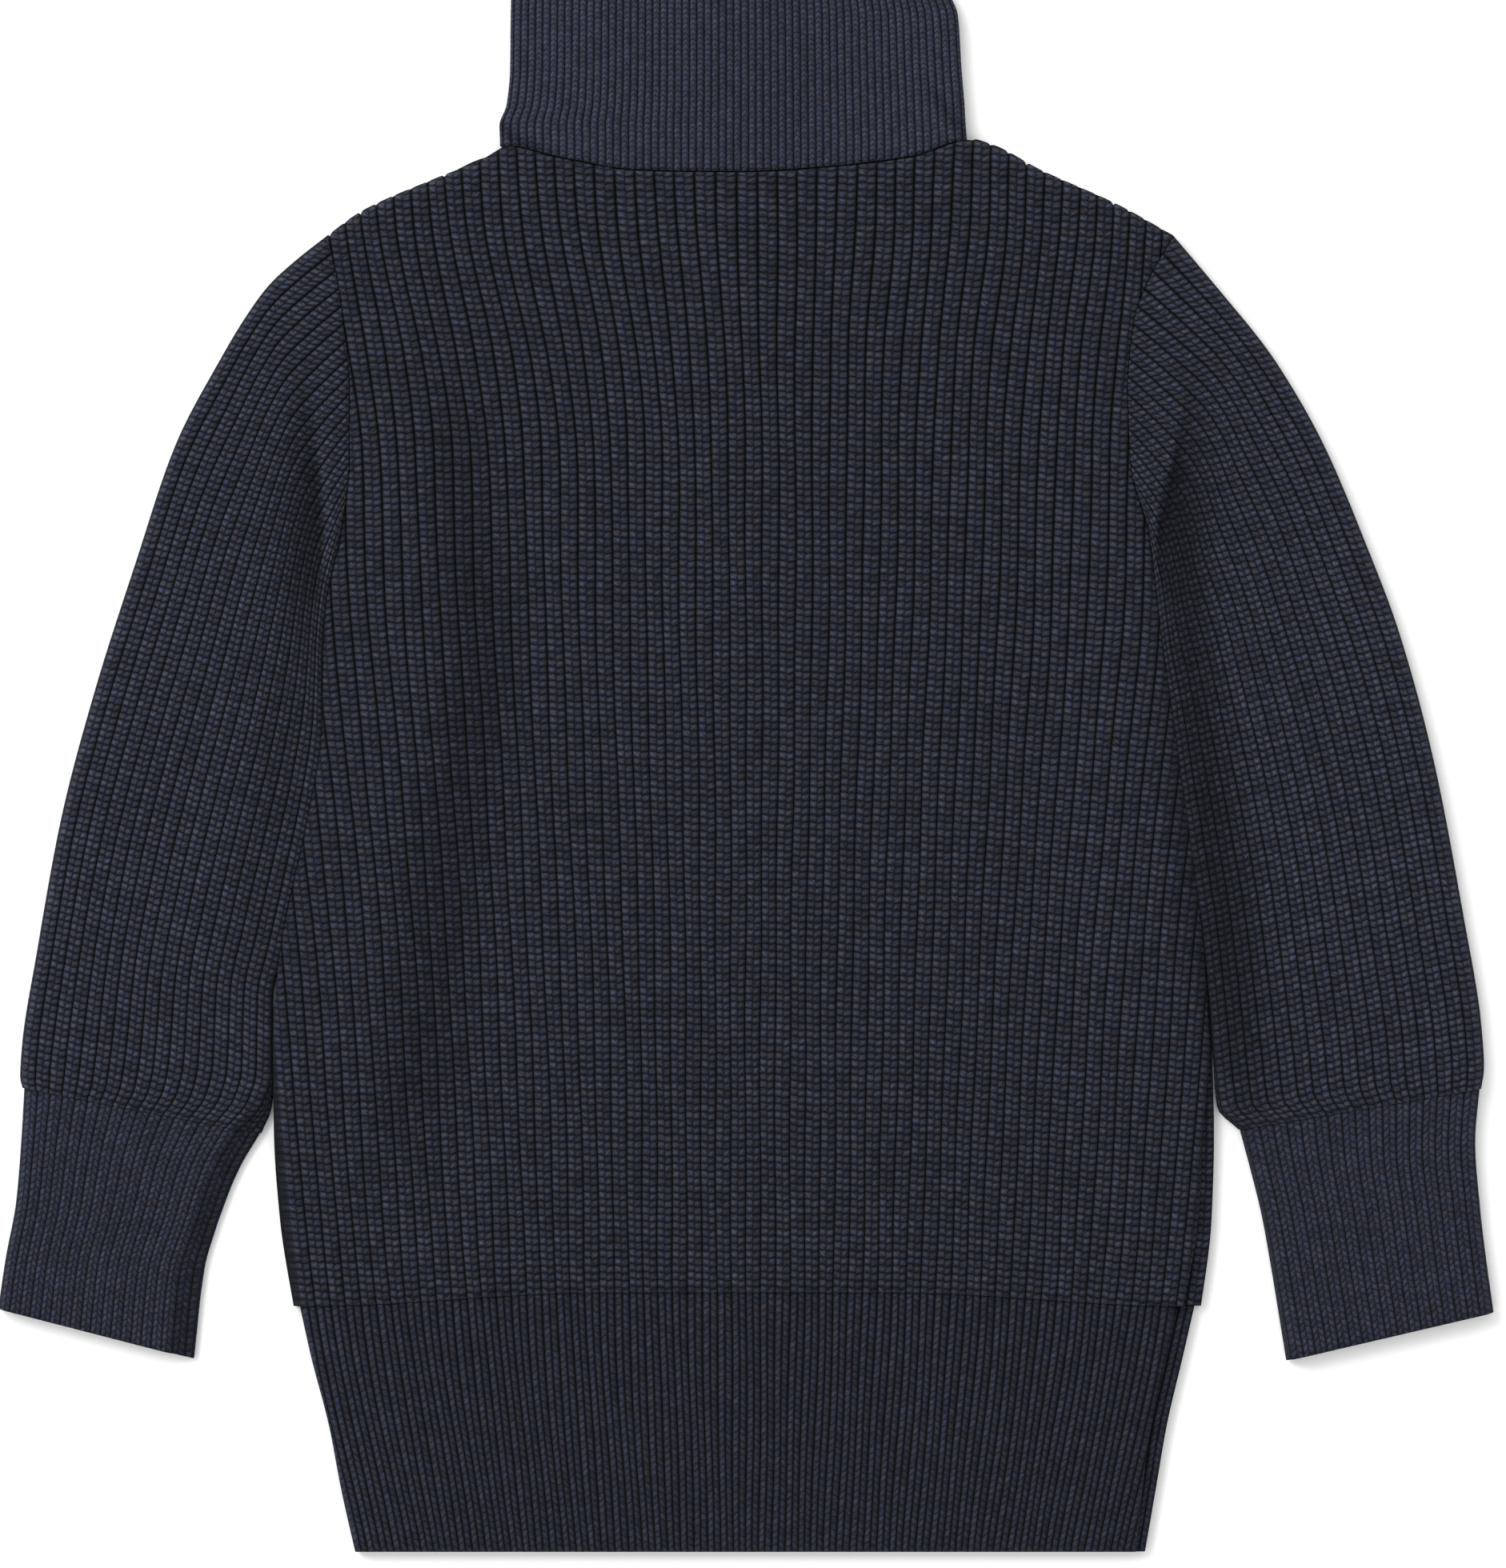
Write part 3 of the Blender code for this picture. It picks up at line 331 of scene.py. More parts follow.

# Painted shade in the yarn's colour where less light gets between the pieces: X, Y, width, share lost, or
# painted highlight gained if negative
PAINTED_SHADE_AND_LIGHT = (
    # painted shade on the sleeves beside the body and in a broad band down the body's left half
    ((148, 112, 8, 0.0), (146, 92, 10, 0.40), (149, 60, 14, 0.50), (153, 10, 18, 0.55),
     (160, -40, 22, 0.58), (165, -84, 20, 0.54), (170, -116, 12, 0.25)),
    ((-148, 112, 8, 0.0), (-147, 92, 8, 0.26), (-149, 60, 14, 0.27), (-155, 10, 18, 0.25),
     (-166, -70, 18, 0.16)),
    ((-104, 152, 18, 0.0), (-98, 110, 20, 0.27), (-89, 38, 22, 0.31), (-101, -30, 22, 0.29),
     (-112, -104, 22, 0.31), (-113, -146, 18, 0.0)),
    # painted highlight: the colour is lighter where these catch a little more light: the body's right,
    # the hem's left, the collar's sides and the sleeves' outer halves
    ((112, 110, 30, 0.0), (118, 30, 36, -0.06), (122, -70, 36, -0.07), (118, -140, 26, 0.0)),
    ((-138, -188, 34, -0.07), (-126, -256, 34, -0.09)),
    ((-66, 226, 26, -0.07), (-66, 262, 26, -0.07)),
    ((60, 226, 24, -0.04), (60, 262, 24, -0.04)),
    ((-185, 110, 30, -0.03), (-205, 40, 30, -0.03), (-222, -20, 26, 0.0)),
    ((190, 110, 30, -0.06), (208, 40, 30, -0.06), (225, -20, 26, 0.0)),
    # and painted shade, a little darker: the middle of the collar and the sleeves above the cuffs
    ((-3, 225, 50, 0.04), (-3, 250, 50, 0.04)),
    ((-200, -60, 40, 0.0), (-205, -95, 40, 0.05)),
    ((206, -60, 40, 0.0), (208, -95, 40, 0.04)),
    # painted highlights on the edges that catch the light where the sleeves fold
    ((-145.4, 124, 2.5, 0.0), (-142.2, 106, 3, -0.3), (-140.6, 84, 3, -0.34),
     (-141.6, 66, 3, -0.15), (-144, 52, 2, 0.0)),
    ((148.6, 130, 3, 0.0), (144.4, 114, 3, -0.3), (140.4, 100, 3, -0.38), (137.4, 84, 2, -0.34),
     (137.5, 72, 2, 0.0)),
    # painted shade on the lower layer of the left cuff
    ((-166, -114, 6, 0.3), (-174, -131, 6, 0.42), (-181, -150, 6, 0.42), (-187, -170, 6, 0.42),
     (-190, -196, 6, 0.42)),
    # painted shade in the creases at the collar's base
    ((-64, 209, 3, 0.0), (-72, 212, 3, 0.35), (-79, 215, 3, 0.45), (-84, 220, 3, 0.3)),
    ((57, 236, 3, 0.0), (64, 228, 3, 0.25), (70, 220, 3, 0.35), (76, 214, 3, 0.3)),
)


def slopes(x, y):
    """Slopes of a smooth curve through the points that never swings past them."""
    secant = np.diff(y, axis=0) / np.diff(x).reshape(-1, *[1] * (y.ndim - 1))
    total = secant[1:] + secant[:-1]
    product = secant[1:] * secant[:-1]
    inner = np.where(product > 0, 2 * product / np.where(total == 0, 1, total), 0.0)
    return np.concatenate([secant[:1], inner, secant[-1:]])


def smooth(x, y, at):
    """The value at each place of a smooth curve through the points."""
    x, y = np.asarray(x, float), np.asarray(y, float)
    at = np.clip(np.asarray(at, float), x[0], x[-1])
    m = slopes(x, y)
    i = np.clip(np.searchsorted(x, at) - 1, 0, len(x) - 2)
    width, t = x[i + 1] - x[i], (at - x[i]) / (x[i + 1] - x[i])
    if y.ndim > 1:
        width = width.reshape(-1, *[1] * (y.ndim - 1))
        t = t.reshape(width.shape)
    return (
        (2 * t**3 - 3 * t**2 + 1) * y[i]
        + (t**3 - 2 * t**2 + t) * width * m[i]
        + (3 * t**2 - 2 * t**3) * y[i + 1]
        + (t**3 - t**2) * width * m[i + 1]
    )


def read(rows, column, at, along="y"):
    """A column of a table, read smoothly at each place along another of its columns."""
    return smooth(rows[along], rows[column], at)


def ease(t):
    """A soft step from 0 to 1."""
    t = np.clip(t, 0, 1)
    return t * t * (3 - 2 * t)


def roundness(distance, radius):
    """How full a wall is this far in from a rounded edge, from 0 at the edge to 1."""
    t = np.clip(1 - np.asarray(distance) / radius, 0, 1)
    return np.sqrt(1 - t * t)


def rib_steps(count, places, first=0.0):
    """Places across this many ribs, counted in ribs."""
    return first + np.append(np.add.outer(np.arange(count), places).ravel(), count)


def relief(k, flatness):
    """Height of a rib, from 0 in its grooves to 1."""
    return 1 - np.abs(2 * (k - np.floor(k)) - 1) ** flatness


def rib_x(k, y):
    """Where the groove number k, counted from the back's centre, lies at this height."""
    centre, side = read(RIB_PITCH, "centre", y), read(RIB_PITCH, "side", y)
    wobble = 0.4 * np.sin(y / 19 + 1.9 * k / 5) * np.sin(y / 43 + 0.7 * k)
    even = ZIP_X * ease((np.asarray(y) - 100) / 110) + centre * k + (side - centre) * k * abs(k) / BODY_RIBS
    return even + wobble * ease((BODY_RIBS / 2 - 1 - abs(k)) / 3)


def zip_lift(x, y):
    """How far the zip raises the cloth that lies on it."""
    across = ease((26 - np.abs(np.asarray(x) - ZIP_X)) / 20)
    along = ease((np.asarray(y) - ZIP_BOTTOM + 34) / 24)
    return ZIP_LIFT * across * along


def slider_lift(x, y):
    """How much more the slider raises the collar's back half."""
    away = np.hypot((np.asarray(x) - ZIP_X) / 24, (np.asarray(y) - PULL_AXIS_Y) / 30)
    return SLIDER_LIFT * ease(1.5 - away)


def stretches(x, y, line):
    """For each stretch of a line of X, Y, width and amount: how far these places are from it, how far
    to its right, and its amount there, fading out to its width."""
    for (x0, y0, w0, a0), (x1, y1, w1, a1) in zip(line[:-1], line[1:], strict=True):
        length = math.hypot(x1 - x0, y1 - y0)
        t = np.clip(((x - x0) * (x1 - x0) + (y - y0) * (y1 - y0)) / length**2, 0, 1)
        away = np.hypot(x - x0 - t * (x1 - x0), y - y0 - t * (y1 - y0))
        right = ((x - x0) * (y1 - y0) - (y - y0) * (x1 - x0)) / length
        yield away, right, (a0 + t * (a1 - a0)) * ease(1 - away / (w0 + t * (w1 - w0)))


def along_lines(x, y, lines):
    """Each line's strongest amount at these places."""
    found = []
    for line in lines:
        strongest = np.zeros(np.shape(x))
        for _, _, value in stretches(x, y, line):
            strongest = np.where(np.abs(value) > np.abs(strongest), value, strongest)
        found.append(strongest)
    return np.array(found)


def beside_lines(x, y, lines, onset):
    """Each line's nearest amount, only right of it as it runs, where it sets in over this distance."""
    found = []
    for line in lines:
        nearest, value = np.full(np.shape(x), np.inf), np.zeros(np.shape(x))
        for away, right, here in stretches(x, y, line):
            value = np.where(away < nearest, here * ease(right / onset), value)
            nearest = np.minimum(nearest, away)
        found.append(value)
    return np.array(found)


def folds(x, y):
    """How far the folds raise the cloth here."""
    return along_lines(x, y, FOLDS).sum(axis=0) + beside_lines(x, y, STEPS, STEP_ONSET).sum(axis=0)


def painted_light_share(x, y):
    """Painted light: the share of the yarn's colour kept at these places, darker as painted shade where less
    light gets between the pieces, lighter as painted highlight where it is over 1.
    """
    between = np.prod(1 - along_lines(x, y, PAINTED_SHADE_AND_LIGHT), axis=0)
    return between * np.prod(1 - beside_lines(x, y, PAINTED_STEP_SHADE, PAINTED_SHADE_ONSET), axis=0)


def join(a, a_at, b, b_at):
    """Triangles between two rows of points that share their first and last places."""
    faces, i, j = [], 0, 0
    while i < len(a) - 1 or j < len(b) - 1:
        forward_a = j == len(b) - 1 or (i < len(a) - 1 and a_at[i + 1] <= b_at[j + 1])
        if forward_a:
            faces.append((a[i], a[i + 1], b[j]))
            i += 1
        else:
            faces.append((a[i], b[j + 1], b[j]))
            j += 1
    return faces


def quads(index):
    """Faces of a grid of point numbers."""
    around = (index[:-1, :-1], index[:-1, 1:], index[1:, 1:], index[1:, :-1])
    return np.stack(around, axis=-1).reshape(-1, 4).tolist()


def add_cloth(name, points, knit, faces, material):
    """A mesh object from points in millimetres. knit is each point's rib and course."""
    mesh = bpy.data.meshes.new(name)
    centred = (points - (0, CENTRE_Y, 0)) * MM
    mesh.from_pydata(centred.tolist(), [], faces)
    corners = np.empty(len(mesh.loops), np.int32)
    mesh.loops.foreach_get("vertex_index", corners)
    mesh.uv_layers.new(name="knit").data.foreach_set("uv", knit[corners].astype(np.float32).ravel())
    # painted shade and painted highlight on each point, for the yarn's colour
    light = mesh.attributes.new("light", "FLOAT", "POINT")
    light.data.foreach_set("value", painted_light_share(points[:, 0], points[:, 1]).astype(np.float32))
    form = bmesh.new()
    form.from_mesh(mesh)
    bmesh.ops.remove_doubles(form, verts=form.verts, dist=MERGE)
    bmesh.ops.recalc_face_normals(form, faces=form.faces)
    form.to_mesh(mesh)
    form.free()
    mesh.shade_smooth()
    mesh.materials.append(material)
    obj = bpy.data.objects.new(name, mesh)
    bpy.context.collection.objects.link(obj)
    return obj


def wall(name, outer, outer_knit, outer_at, inner, inner_at, material, ring=False):
    """A closed wall between an outer grid, which carries the stitches, and a plain inner one."""
    if ring:
        outer = np.concatenate([outer, outer[:, :1]], axis=1)
        inner = np.concatenate([inner, inner[:, :1]], axis=1)
    rows = len(outer)
    inner_knit = np.zeros((rows, len(inner_at), 2))
    for r in range(rows):
        for n in (0, 1):
            inner_knit[r, :, n] = np.interp(inner_at, outer_at, outer_knit[r, :, n])
    outer_index = np.arange(rows * outer.shape[1]).reshape(rows, -1)
    inner_index = outer_index.size + np.arange(rows * inner.shape[1]).reshape(rows, -1)
    faces = quads(outer_index) + quads(inner_index)
    if not ring:
        for side in (0, -1):
            faces += quads(np.stack([outer_index[:, side], inner_index[:, side]], axis=1))
    for row in (0, rows - 1):
        faces += join(outer_index[row].tolist(), outer_at, inner_index[row].tolist(), inner_at)
    points = np.concatenate([outer.reshape(-1, 3), inner.reshape(-1, 3)])
    knit = np.concatenate([outer_knit.reshape(-1, 2), inner_knit.reshape(-1, 2)])
    return add_cloth(name, points, knit, faces, material)


def slab(name, lower, upper, knit, present, material):
    """A closed slab from two matching grids, with the cells that aren't present left out."""
    rows, columns = lower.shape[:2]
    low = np.arange(rows * columns).reshape(rows, columns)
    high = low + low.size
    r, c = np.nonzero(present)
    around = ((r, c), (r, c + 1), (r + 1, c + 1), (r + 1, c))
    faces = np.stack([low[k] for k in around], axis=1).tolist()
    faces += np.stack([high[k] for k in around[::-1]], axis=1).tolist()
    padded = np.pad(present, 1)
    beside = ((r, c + 1), (r + 1, c + 2), (r + 2, c + 1), (r + 1, c))
    for n, place in enumerate(beside):
        edge = ~padded[place]
        a, b = ((k[0][edge], k[1][edge]) for k in (around[n], around[(n + 1) % 4]))
        faces += np.stack([low[b], low[a], high[a], high[b]], axis=1).tolist()
    used, renumbered = np.unique(np.concatenate([np.array(f) for f in faces]), return_inverse=True)
    faces = renumbered.reshape(-1, 4).tolist()
    points = np.concatenate([lower.reshape(-1, 3), upper.reshape(-1, 3)])[used]
    both = np.concatenate([knit.reshape(-1, 2)] * 2)[used]
    return add_cloth(name, points, both, faces, material)


def knit_at(ribs, courses):
    """Rib and course at each point of a grid."""
    return np.stack([np.broadcast_to(ribs, courses.shape), courses], axis=-1)


def hem_line(k):
    """Height at rib k of the change from hem rib to body rib, a little higher at the centre."""
    return HEM_LINE - HEM_LINE_DROP * ease((np.abs(k) - 10) / 20)


def body_courses(y, k):
    """Courses up from the hem line at rib k. They get closer towards the neck."""
    up = y - hem_line(k)
    tighter = (1 / BODY_COURSE_HIGH - 1 / BODY_COURSE_LOW) / (COLLAR_TOP - HEM_BOTTOM)
    return up / BODY_COURSE_LOW + tighter * up**2 / 2


def body_heights(top, k, low_rows, high_rows, middle=UNDERARM_Y):
    """Heights of the rows of points from the hem line up to this upper outline, at ribs k."""
    start = hem_line(k) + SEAM_GAP / 2
    low = start + np.linspace(0, 1, low_rows)[:-1, None] * (middle - start)
    return np.vstack([low, middle + np.linspace(0, 1, high_rows)[:, None] * (top - middle)])


def inside_of(grid, k, under):
    """The plain inside of a ribbed grid, at fewer columns, at the height that under gives."""
    inner = np.zeros((len(grid), len(INSIDE_RIBS), 3))
    for r, row in enumerate(grid):
        inner[r, :, 0] = np.interp(INSIDE_RIBS, k, row[:, 0])
        inner[r, :, 1] = np.interp(INSIDE_RIBS, k, row[:, 1])
    inner[:, :, 2] = under(inner[:, :, 0], inner[:, :, 1])
    return inner


def between_sides(k, y, sides):
    """X of the grooves k, kept between the sides that a table gives, and how far in each point is."""
    left, right = read(sides, "left", y), read(sides, "right", y)
    x = rib_x(k, y)
    x[:, 0], x[:, -1] = left[:, 0], right[:, -1]
    x = np.clip(x, left, right)
    return x, np.minimum(x - left, right - x)


def build_back(material):
    """The back panel, with its ribs fanning out towards the neck and shoulders."""
    k = rib_steps(BODY_RIBS, UP_PLACES, first=-BODY_RIBS / 2)
    rib = relief(k, CHUNKY)
    tip_left, tip_right = TOP_EDGE["x"][0], TOP_EDGE["x"][-1]
    top = np.full(len(k), SHOULDER_TIP_Y)
    for _ in range(6):
        top_x = np.clip(rib_x(k, top), tip_left, tip_right)
        top = read(TOP_EDGE, "back", top_x, along="x")
    shoulder = (top_x < NECK_CORNERS[0]) | (top_x > NECK_CORNERS[1])
    y = body_heights(top, k, *BACK_ROWS)
    standing = shoulder & (top_x > tip_left) & (top_x < tip_right)
    y[-1] += np.where(standing, SCALLOP * (2 * rib - 1), 0)
    y[-2] += np.where(standing, SCALLOP * (rib - 0.7), 0)
    x, side = between_sides(k, y, BODY_SIDES)
    yoke = ease((y - UNDERARM_Y) / 8)
    full = roundness(side, EDGE_ROUND + (SEAM_ROUND - EDGE_ROUND) * yoke)
    full *= END_FULL + (1 - END_FULL) * ease((y - y[0]) / SEAM_ROUND)
    full *= roundness(np.maximum(top - y, 0), np.where(shoulder, EDGE_ROUND, SEAM_ROUND))
    rise = (BACK_PLY - EDGE_PLY + BODY_RIB * rib * (side > 0)) * full
    z = BACK_UNDER + zip_lift(x, y) + EDGE_PLY + rise + folds(x, y) * full
    grid = np.stack([x, y, z], axis=-1)
    knit = knit_at(k, body_courses(y, k))
    inner = inside_of(grid, k, lambda x, y: BACK_UNDER + zip_lift(x, y))
    inner[-1, :, 1] -= SEAM_BEVEL
    return wall("back", grid, knit, k, inner, INSIDE_RIBS, material)


def build_back_hem(material):
    """The back's hem band, in narrower rounded ribs that carry on the back's own."""
    k = rib_steps(BODY_RIBS, UP_PLACES, first=-BODY_RIBS / 2)
    rib = relief(k, ROUNDED)
    top = hem_line(k) - SEAM_GAP / 2
    part = np.linspace(0, 1, BACK_HEM_ROWS)[:, None]
    y = HEM_BOTTOM + part * (top - HEM_BOTTOM)
    x, side = between_sides(k, y, HEM_SIDES)
    full = roundness(side, EDGE_ROUND) * roundness(y - HEM_BOTTOM, SEAM_ROUND)
    full *= END_FULL + (1 - END_FULL) * ease((top - y) / SEAM_ROUND)
    rise = (HEM_PLY - EDGE_PLY + HEM_RIB * rib * (side > 0)) * full
    grid = np.stack([x, y, BACK_UNDER + EDGE_PLY + rise + folds(x, y) * full], axis=-1)
    knit = knit_at(k, (y - top) / RIB_COURSE)
    inner = inside_of(grid, k, lambda x, y: np.full(x.shape, BACK_UNDER))
    return wall("back_hem", grid, knit, k, inner, INSIDE_RIBS, material)


def flat_panel(name, x, y, groove, knit, present, material):
    """A panel on the surface, grooved below and flat on top."""
    lower = np.stack([x, y, np.broadcast_to(groove, y.shape)], axis=-1)
    upper = np.stack([x, y, np.full(y.shape, PLY)], axis=-1)
    return slab(name, lower, upper, knit, present, material)


def build_front(material):
    """The front panel, flat on the surface, with its deeper neck and the slit for the zip."""
    slit = (ZIP_X - SLIT_HALF, ZIP_X + SLIT_HALF)
    tips = TOP_EDGE["x"][0], TOP_EDGE["x"][-1]
    places = rib_steps(BODY_RIBS, UNDER_PLACES) / BODY_RIBS
    places = tips[0] + places * (tips[1] - tips[0])
    beside_slit = (abs(places - slit[0]) < 0.4) | (abs(places - slit[1]) < 0.4)
    across = np.sort(np.concatenate([places[~beside_slit], slit]))
    share = (across - tips[0]) / (tips[1] - tips[0])
    k = BODY_RIBS * (share - 0.5)
    top = read(TOP_EDGE, "front", across, along="x")
    y = body_heights(top, k, *FRONT_ROWS, middle=ZIP_BOTTOM)
    left, right = read(BODY_SIDES, "left", y), read(BODY_SIDES, "front", y)
    spread = left + (right - left) * share
    straight = np.clip(np.broadcast_to(across, y.shape), left, right)
    straight[:, 0], straight[:, -1] = left[:, 0], right[:, -1]
    above = ease((y - ZIP_BOTTOM + 70) / 70)
    x = spread + (straight - spread) * above
    groove = UNDER_RELIEF * (1 - relief(k, CHUNKY)) * (np.minimum(x - left, right - x) > 0)
    present = np.ones((len(y) - 1, len(across) - 1), bool)
    present[1 - FRONT_ROWS[1]:, (across[:-1] >= slit[0]) & (across[:-1] < slit[1])] = False
    return flat_panel("front", x, y, groove, knit_at(k, body_courses(y, k)), present, material)


def build_front_hem(material):
    """The front's hem band, flat on the surface."""
    k = rib_steps(BODY_RIBS, UNDER_PLACES, first=-BODY_RIBS / 2)
    share = 0.5 + k / BODY_RIBS
    top = hem_line(k) - SEAM_GAP / 2
    y = HEM_BOTTOM + np.linspace(0, 1, FRONT_HEM_ROWS)[:, None] * (top - HEM_BOTTOM)
    left, right = read(HEM_SIDES, "left", y), read(HEM_SIDES, "front", y)
    x = left + (right - left) * share
    groove = UNDER_RELIEF * (1 - relief(k, ROUNDED))
    present = np.ones((len(y) - 1, len(k) - 1), bool)
    knit = knit_at(k, (y - top) / RIB_COURSE)
    return flat_panel("front_hem", x, y, groove, knit, present, material)


def body_clear(x, y, side):
    """Keeps points of a sleeve clear of the body beside it; side is -1 left, 1 right."""
    edge = read(BODY_SIDES, "left" if side < 0 else "front", y)
    return side * np.maximum(side * x, side * edge + SIDE_GAP)


def seam_curve(share, side):
    """Points along the armhole seam, from the shoulder tip to the underarm."""
    y = SEAM_TOP + share * (UNDERARM_Y - SEAM_TOP)
    x = read(BODY_SIDES, SIDES[side], y) + side * SIDE_GAP
    return np.stack([x, y], axis=1)


def tube_lines(sections, side, share, seam, count):
    """Rows of points across a tube's upper face, evenly spaced along it, each row's ledge, and how
    far each row is from the tube's ends."""
    start = np.stack([sections["out_x"], sections["out_y"]], axis=1)
    end = np.stack([sections["in_x"], sections["in_y"]], axis=1)
    lines = [a + share[:, None] * (b - a) for a, b in zip(start, end, strict=True)]
    ledge = list(sections["ledge"])
    if seam:
        armhole = seam_curve(share, side)
        halfway = (7 * armhole + 10 * lines[0] - lines[1]) / 16
        between = (9 * lines[0] + 9 * lines[1] - armhole - lines[2]) / 16
        lines = [armhole, halfway, lines[0], between, *lines[1:]]
        ledge = [0.0] * 3 + ledge
    else:
        away = lines[0] - lines[1]
        lines[0] = lines[0] + CUFF_LAP * away / np.linalg.norm(away, axis=1, keepdims=True)
    lines = np.array(lines)
    steps = np.linalg.norm(np.diff(lines, axis=0), axis=-1).mean(axis=1)
    down = np.concatenate([[0.0], np.cumsum(steps)])
    at = np.linspace(0, down[-1], count)
    return smooth(down, lines, at), np.interp(at, down, ledge), at, down[-1] - at


def build_tube(name, sections, side, flatness, rib_height, course, count, material, seam=False):
    """A flattened tube: ribs above and below, rounded folds, and the ledge at its inner edge."""
    share = rib_steps(SLEEVE_RIBS, UP_PLACES) / SLEEVE_RIBS
    under_share = rib_steps(SLEEVE_RIBS, UNDER_PLACES)[::-1][1:-1] / SLEEVE_RIBS
    under_share = under_share[(under_share < 0.97) & (under_share > 0.03)]
    rib, under_rib = relief(share * SLEEVE_RIBS, flatness), relief(under_share * SLEEVE_RIBS, flatness)
    lines, ledges, from_start, from_end = tube_lines(sections, side, share, seam, count)
    slot_at = np.array((0.05, 0.35, 0.65, 0.94))
    outer, inner = [], []
    for line, ledge, near, far in zip(lines, ledges, from_start, from_end, strict=True):
        end_full = END_FULL + (1 - END_FULL) * float(ease(min(near, far) / SEAM_ROUND))
        width = np.linalg.norm(line[-1] - line[0])
        across = (line[-1] - line[0]) / width
        reach = np.minimum(share, 1 - share) * width
        curl = roundness(reach + 0.4, EDGE_ROUND)
        z = TUBE_EDGE + (TUBE_TOP - TUBE_EDGE) * curl * (0.7 + 0.3 * end_full)
        z = z + rib_height * rib * curl * end_full
        z = z + folds(line[:, 0], line[:, 1]) * curl * end_full
        ring = [*np.column_stack([line, np.maximum(z, SLOT_HIGH + 0.4)])]
        for out, part, height in zip(TUBE_SIDE["out"], TUBE_SIDE["ledge"], TUBE_SIDE["z"], strict=True):
            ring.append((*(line[-1] + across * (out + part * ledge)), height))
        under = [np.interp(under_share, share, line[:, n]) for n in (0, 1)]
        ring += [*np.column_stack([*under, UNDER_RELIEF * (1 - under_rib)])]
        ring += [(*(line[0] - across * out), height) for out, height in zip(*TUBE_FOLD.values(), strict=True)]
        outer.append(ring)
        slot = [np.interp(slot_at, share, line[:, n]) for n in (0, 1)]
        above = np.column_stack([*slot, np.full(len(slot_at), SLOT_HIGH)])
        below = np.column_stack([*slot, np.full(len(slot_at), SLOT_LOW)])[::-1]
        inner.append([*above, *below])
    outer, inner = np.array(outer), np.array(inner)
    for grid in (outer, inner):
        grid[:, :, 0] = body_clear(grid[:, :, 0], grid[:, :, 1], side)
    more = outer.shape[1] - len(share) + 1
    outer_at = np.concatenate([share, 1 + np.arange(1, more + 1) / more])
    inner_at = np.array([0.0, 0.35, 0.65, 1.0, 1.4, 1.6, 1.8, 1.95, 2.0])
    ribs = np.concatenate([
        share * SLEEVE_RIBS,
        SLEEVE_RIBS + 0.1 * np.arange(1, len(TUBE_SIDE["z"]) + 1) + LEDGE_RIBS * TUBE_SIDE["ledge"],
        (2 - under_share) * SLEEVE_RIBS,
        2 * SLEEVE_RIBS - 0.25 * np.arange(len(TUBE_FOLD["z"]), -1, -1),
    ])
    travelled = np.linalg.norm(np.diff(outer[::-1, :, :2], axis=0), axis=-1)
    up = np.vstack([np.zeros(outer.shape[1]), np.cumsum(travelled, axis=0)])[::-1]
    up = np.column_stack([up, up[:, 0]])
    return wall(name, outer, knit_at(ribs, up / course), outer_at, inner, inner_at, material, ring=True)


def collar_under(x, y):
    """Underside of the collar's back half."""
    return BACK_UNDER + zip_lift(x, y) + slider_lift(x, y)


def collar_front(x_low, part, side):
    """Places on the collar's front half, from its neck edge at x_low; part is 0 there, 1 on top."""
    low = read(TOP_EDGE, "front", x_low, along="x") + 2 * SEAM_GAP
    y = low + part * (COLLAR_TOP - low)
    slit = ZIP_X + side * SLIT_HALF
    edge_low = NECK_LEFT if side < 0 else NECK_RIGHT
    edge = read(COLLAR_SIDES, SIDES[side], y) - side * FOLD_WIDTH
    return slit + (x_low - slit) / (edge_low - slit) * (edge - slit), y


def collar_back(share, part):
    """Places on the collar's back half, share of the way from left to right."""
    share = np.asarray(share)
    x_low = np.clip(COLLAR_LEFT + (COLLAR_RIGHT - COLLAR_LEFT) * share, *COLLAR_NECK)
    low = read(TOP_EDGE, "back", x_low, along="x") + SEAM_GAP
    y = low + part * (COLLAR_TOP - low)
    left, right = read(COLLAR_SIDES, "left", y), read(COLLAR_SIDES, "right", y)
    x = COLLAR_EVEN[0] + (COLLAR_EVEN[1] - COLLAR_EVEN[0]) * share
    x = x + (left + COLLAR_INSET - COLLAR_EVEN[0]) * (1 - share) ** 5
    x = x + (right - COLLAR_INSET - COLLAR_EVEN[1]) * share**5
    return x, y, np.minimum(x - left, right - x)


def collar_fold(part, side):
    """Points down a fold of the collar from the upper half to the lower, and the one inside it."""
    _, y, _ = collar_back(0.0 if side < 0 else 1.0, part)
    edge = read(COLLAR_SIDES, SIDES[side], y)
    outer = [(edge - side * inward, y, z) for inward, z in zip(*COLLAR_FOLD.values(), strict=True)]
    return np.array(outer, float), np.array([(edge - side * FOLD_WIDTH, y, PLY + 0.2)], float)


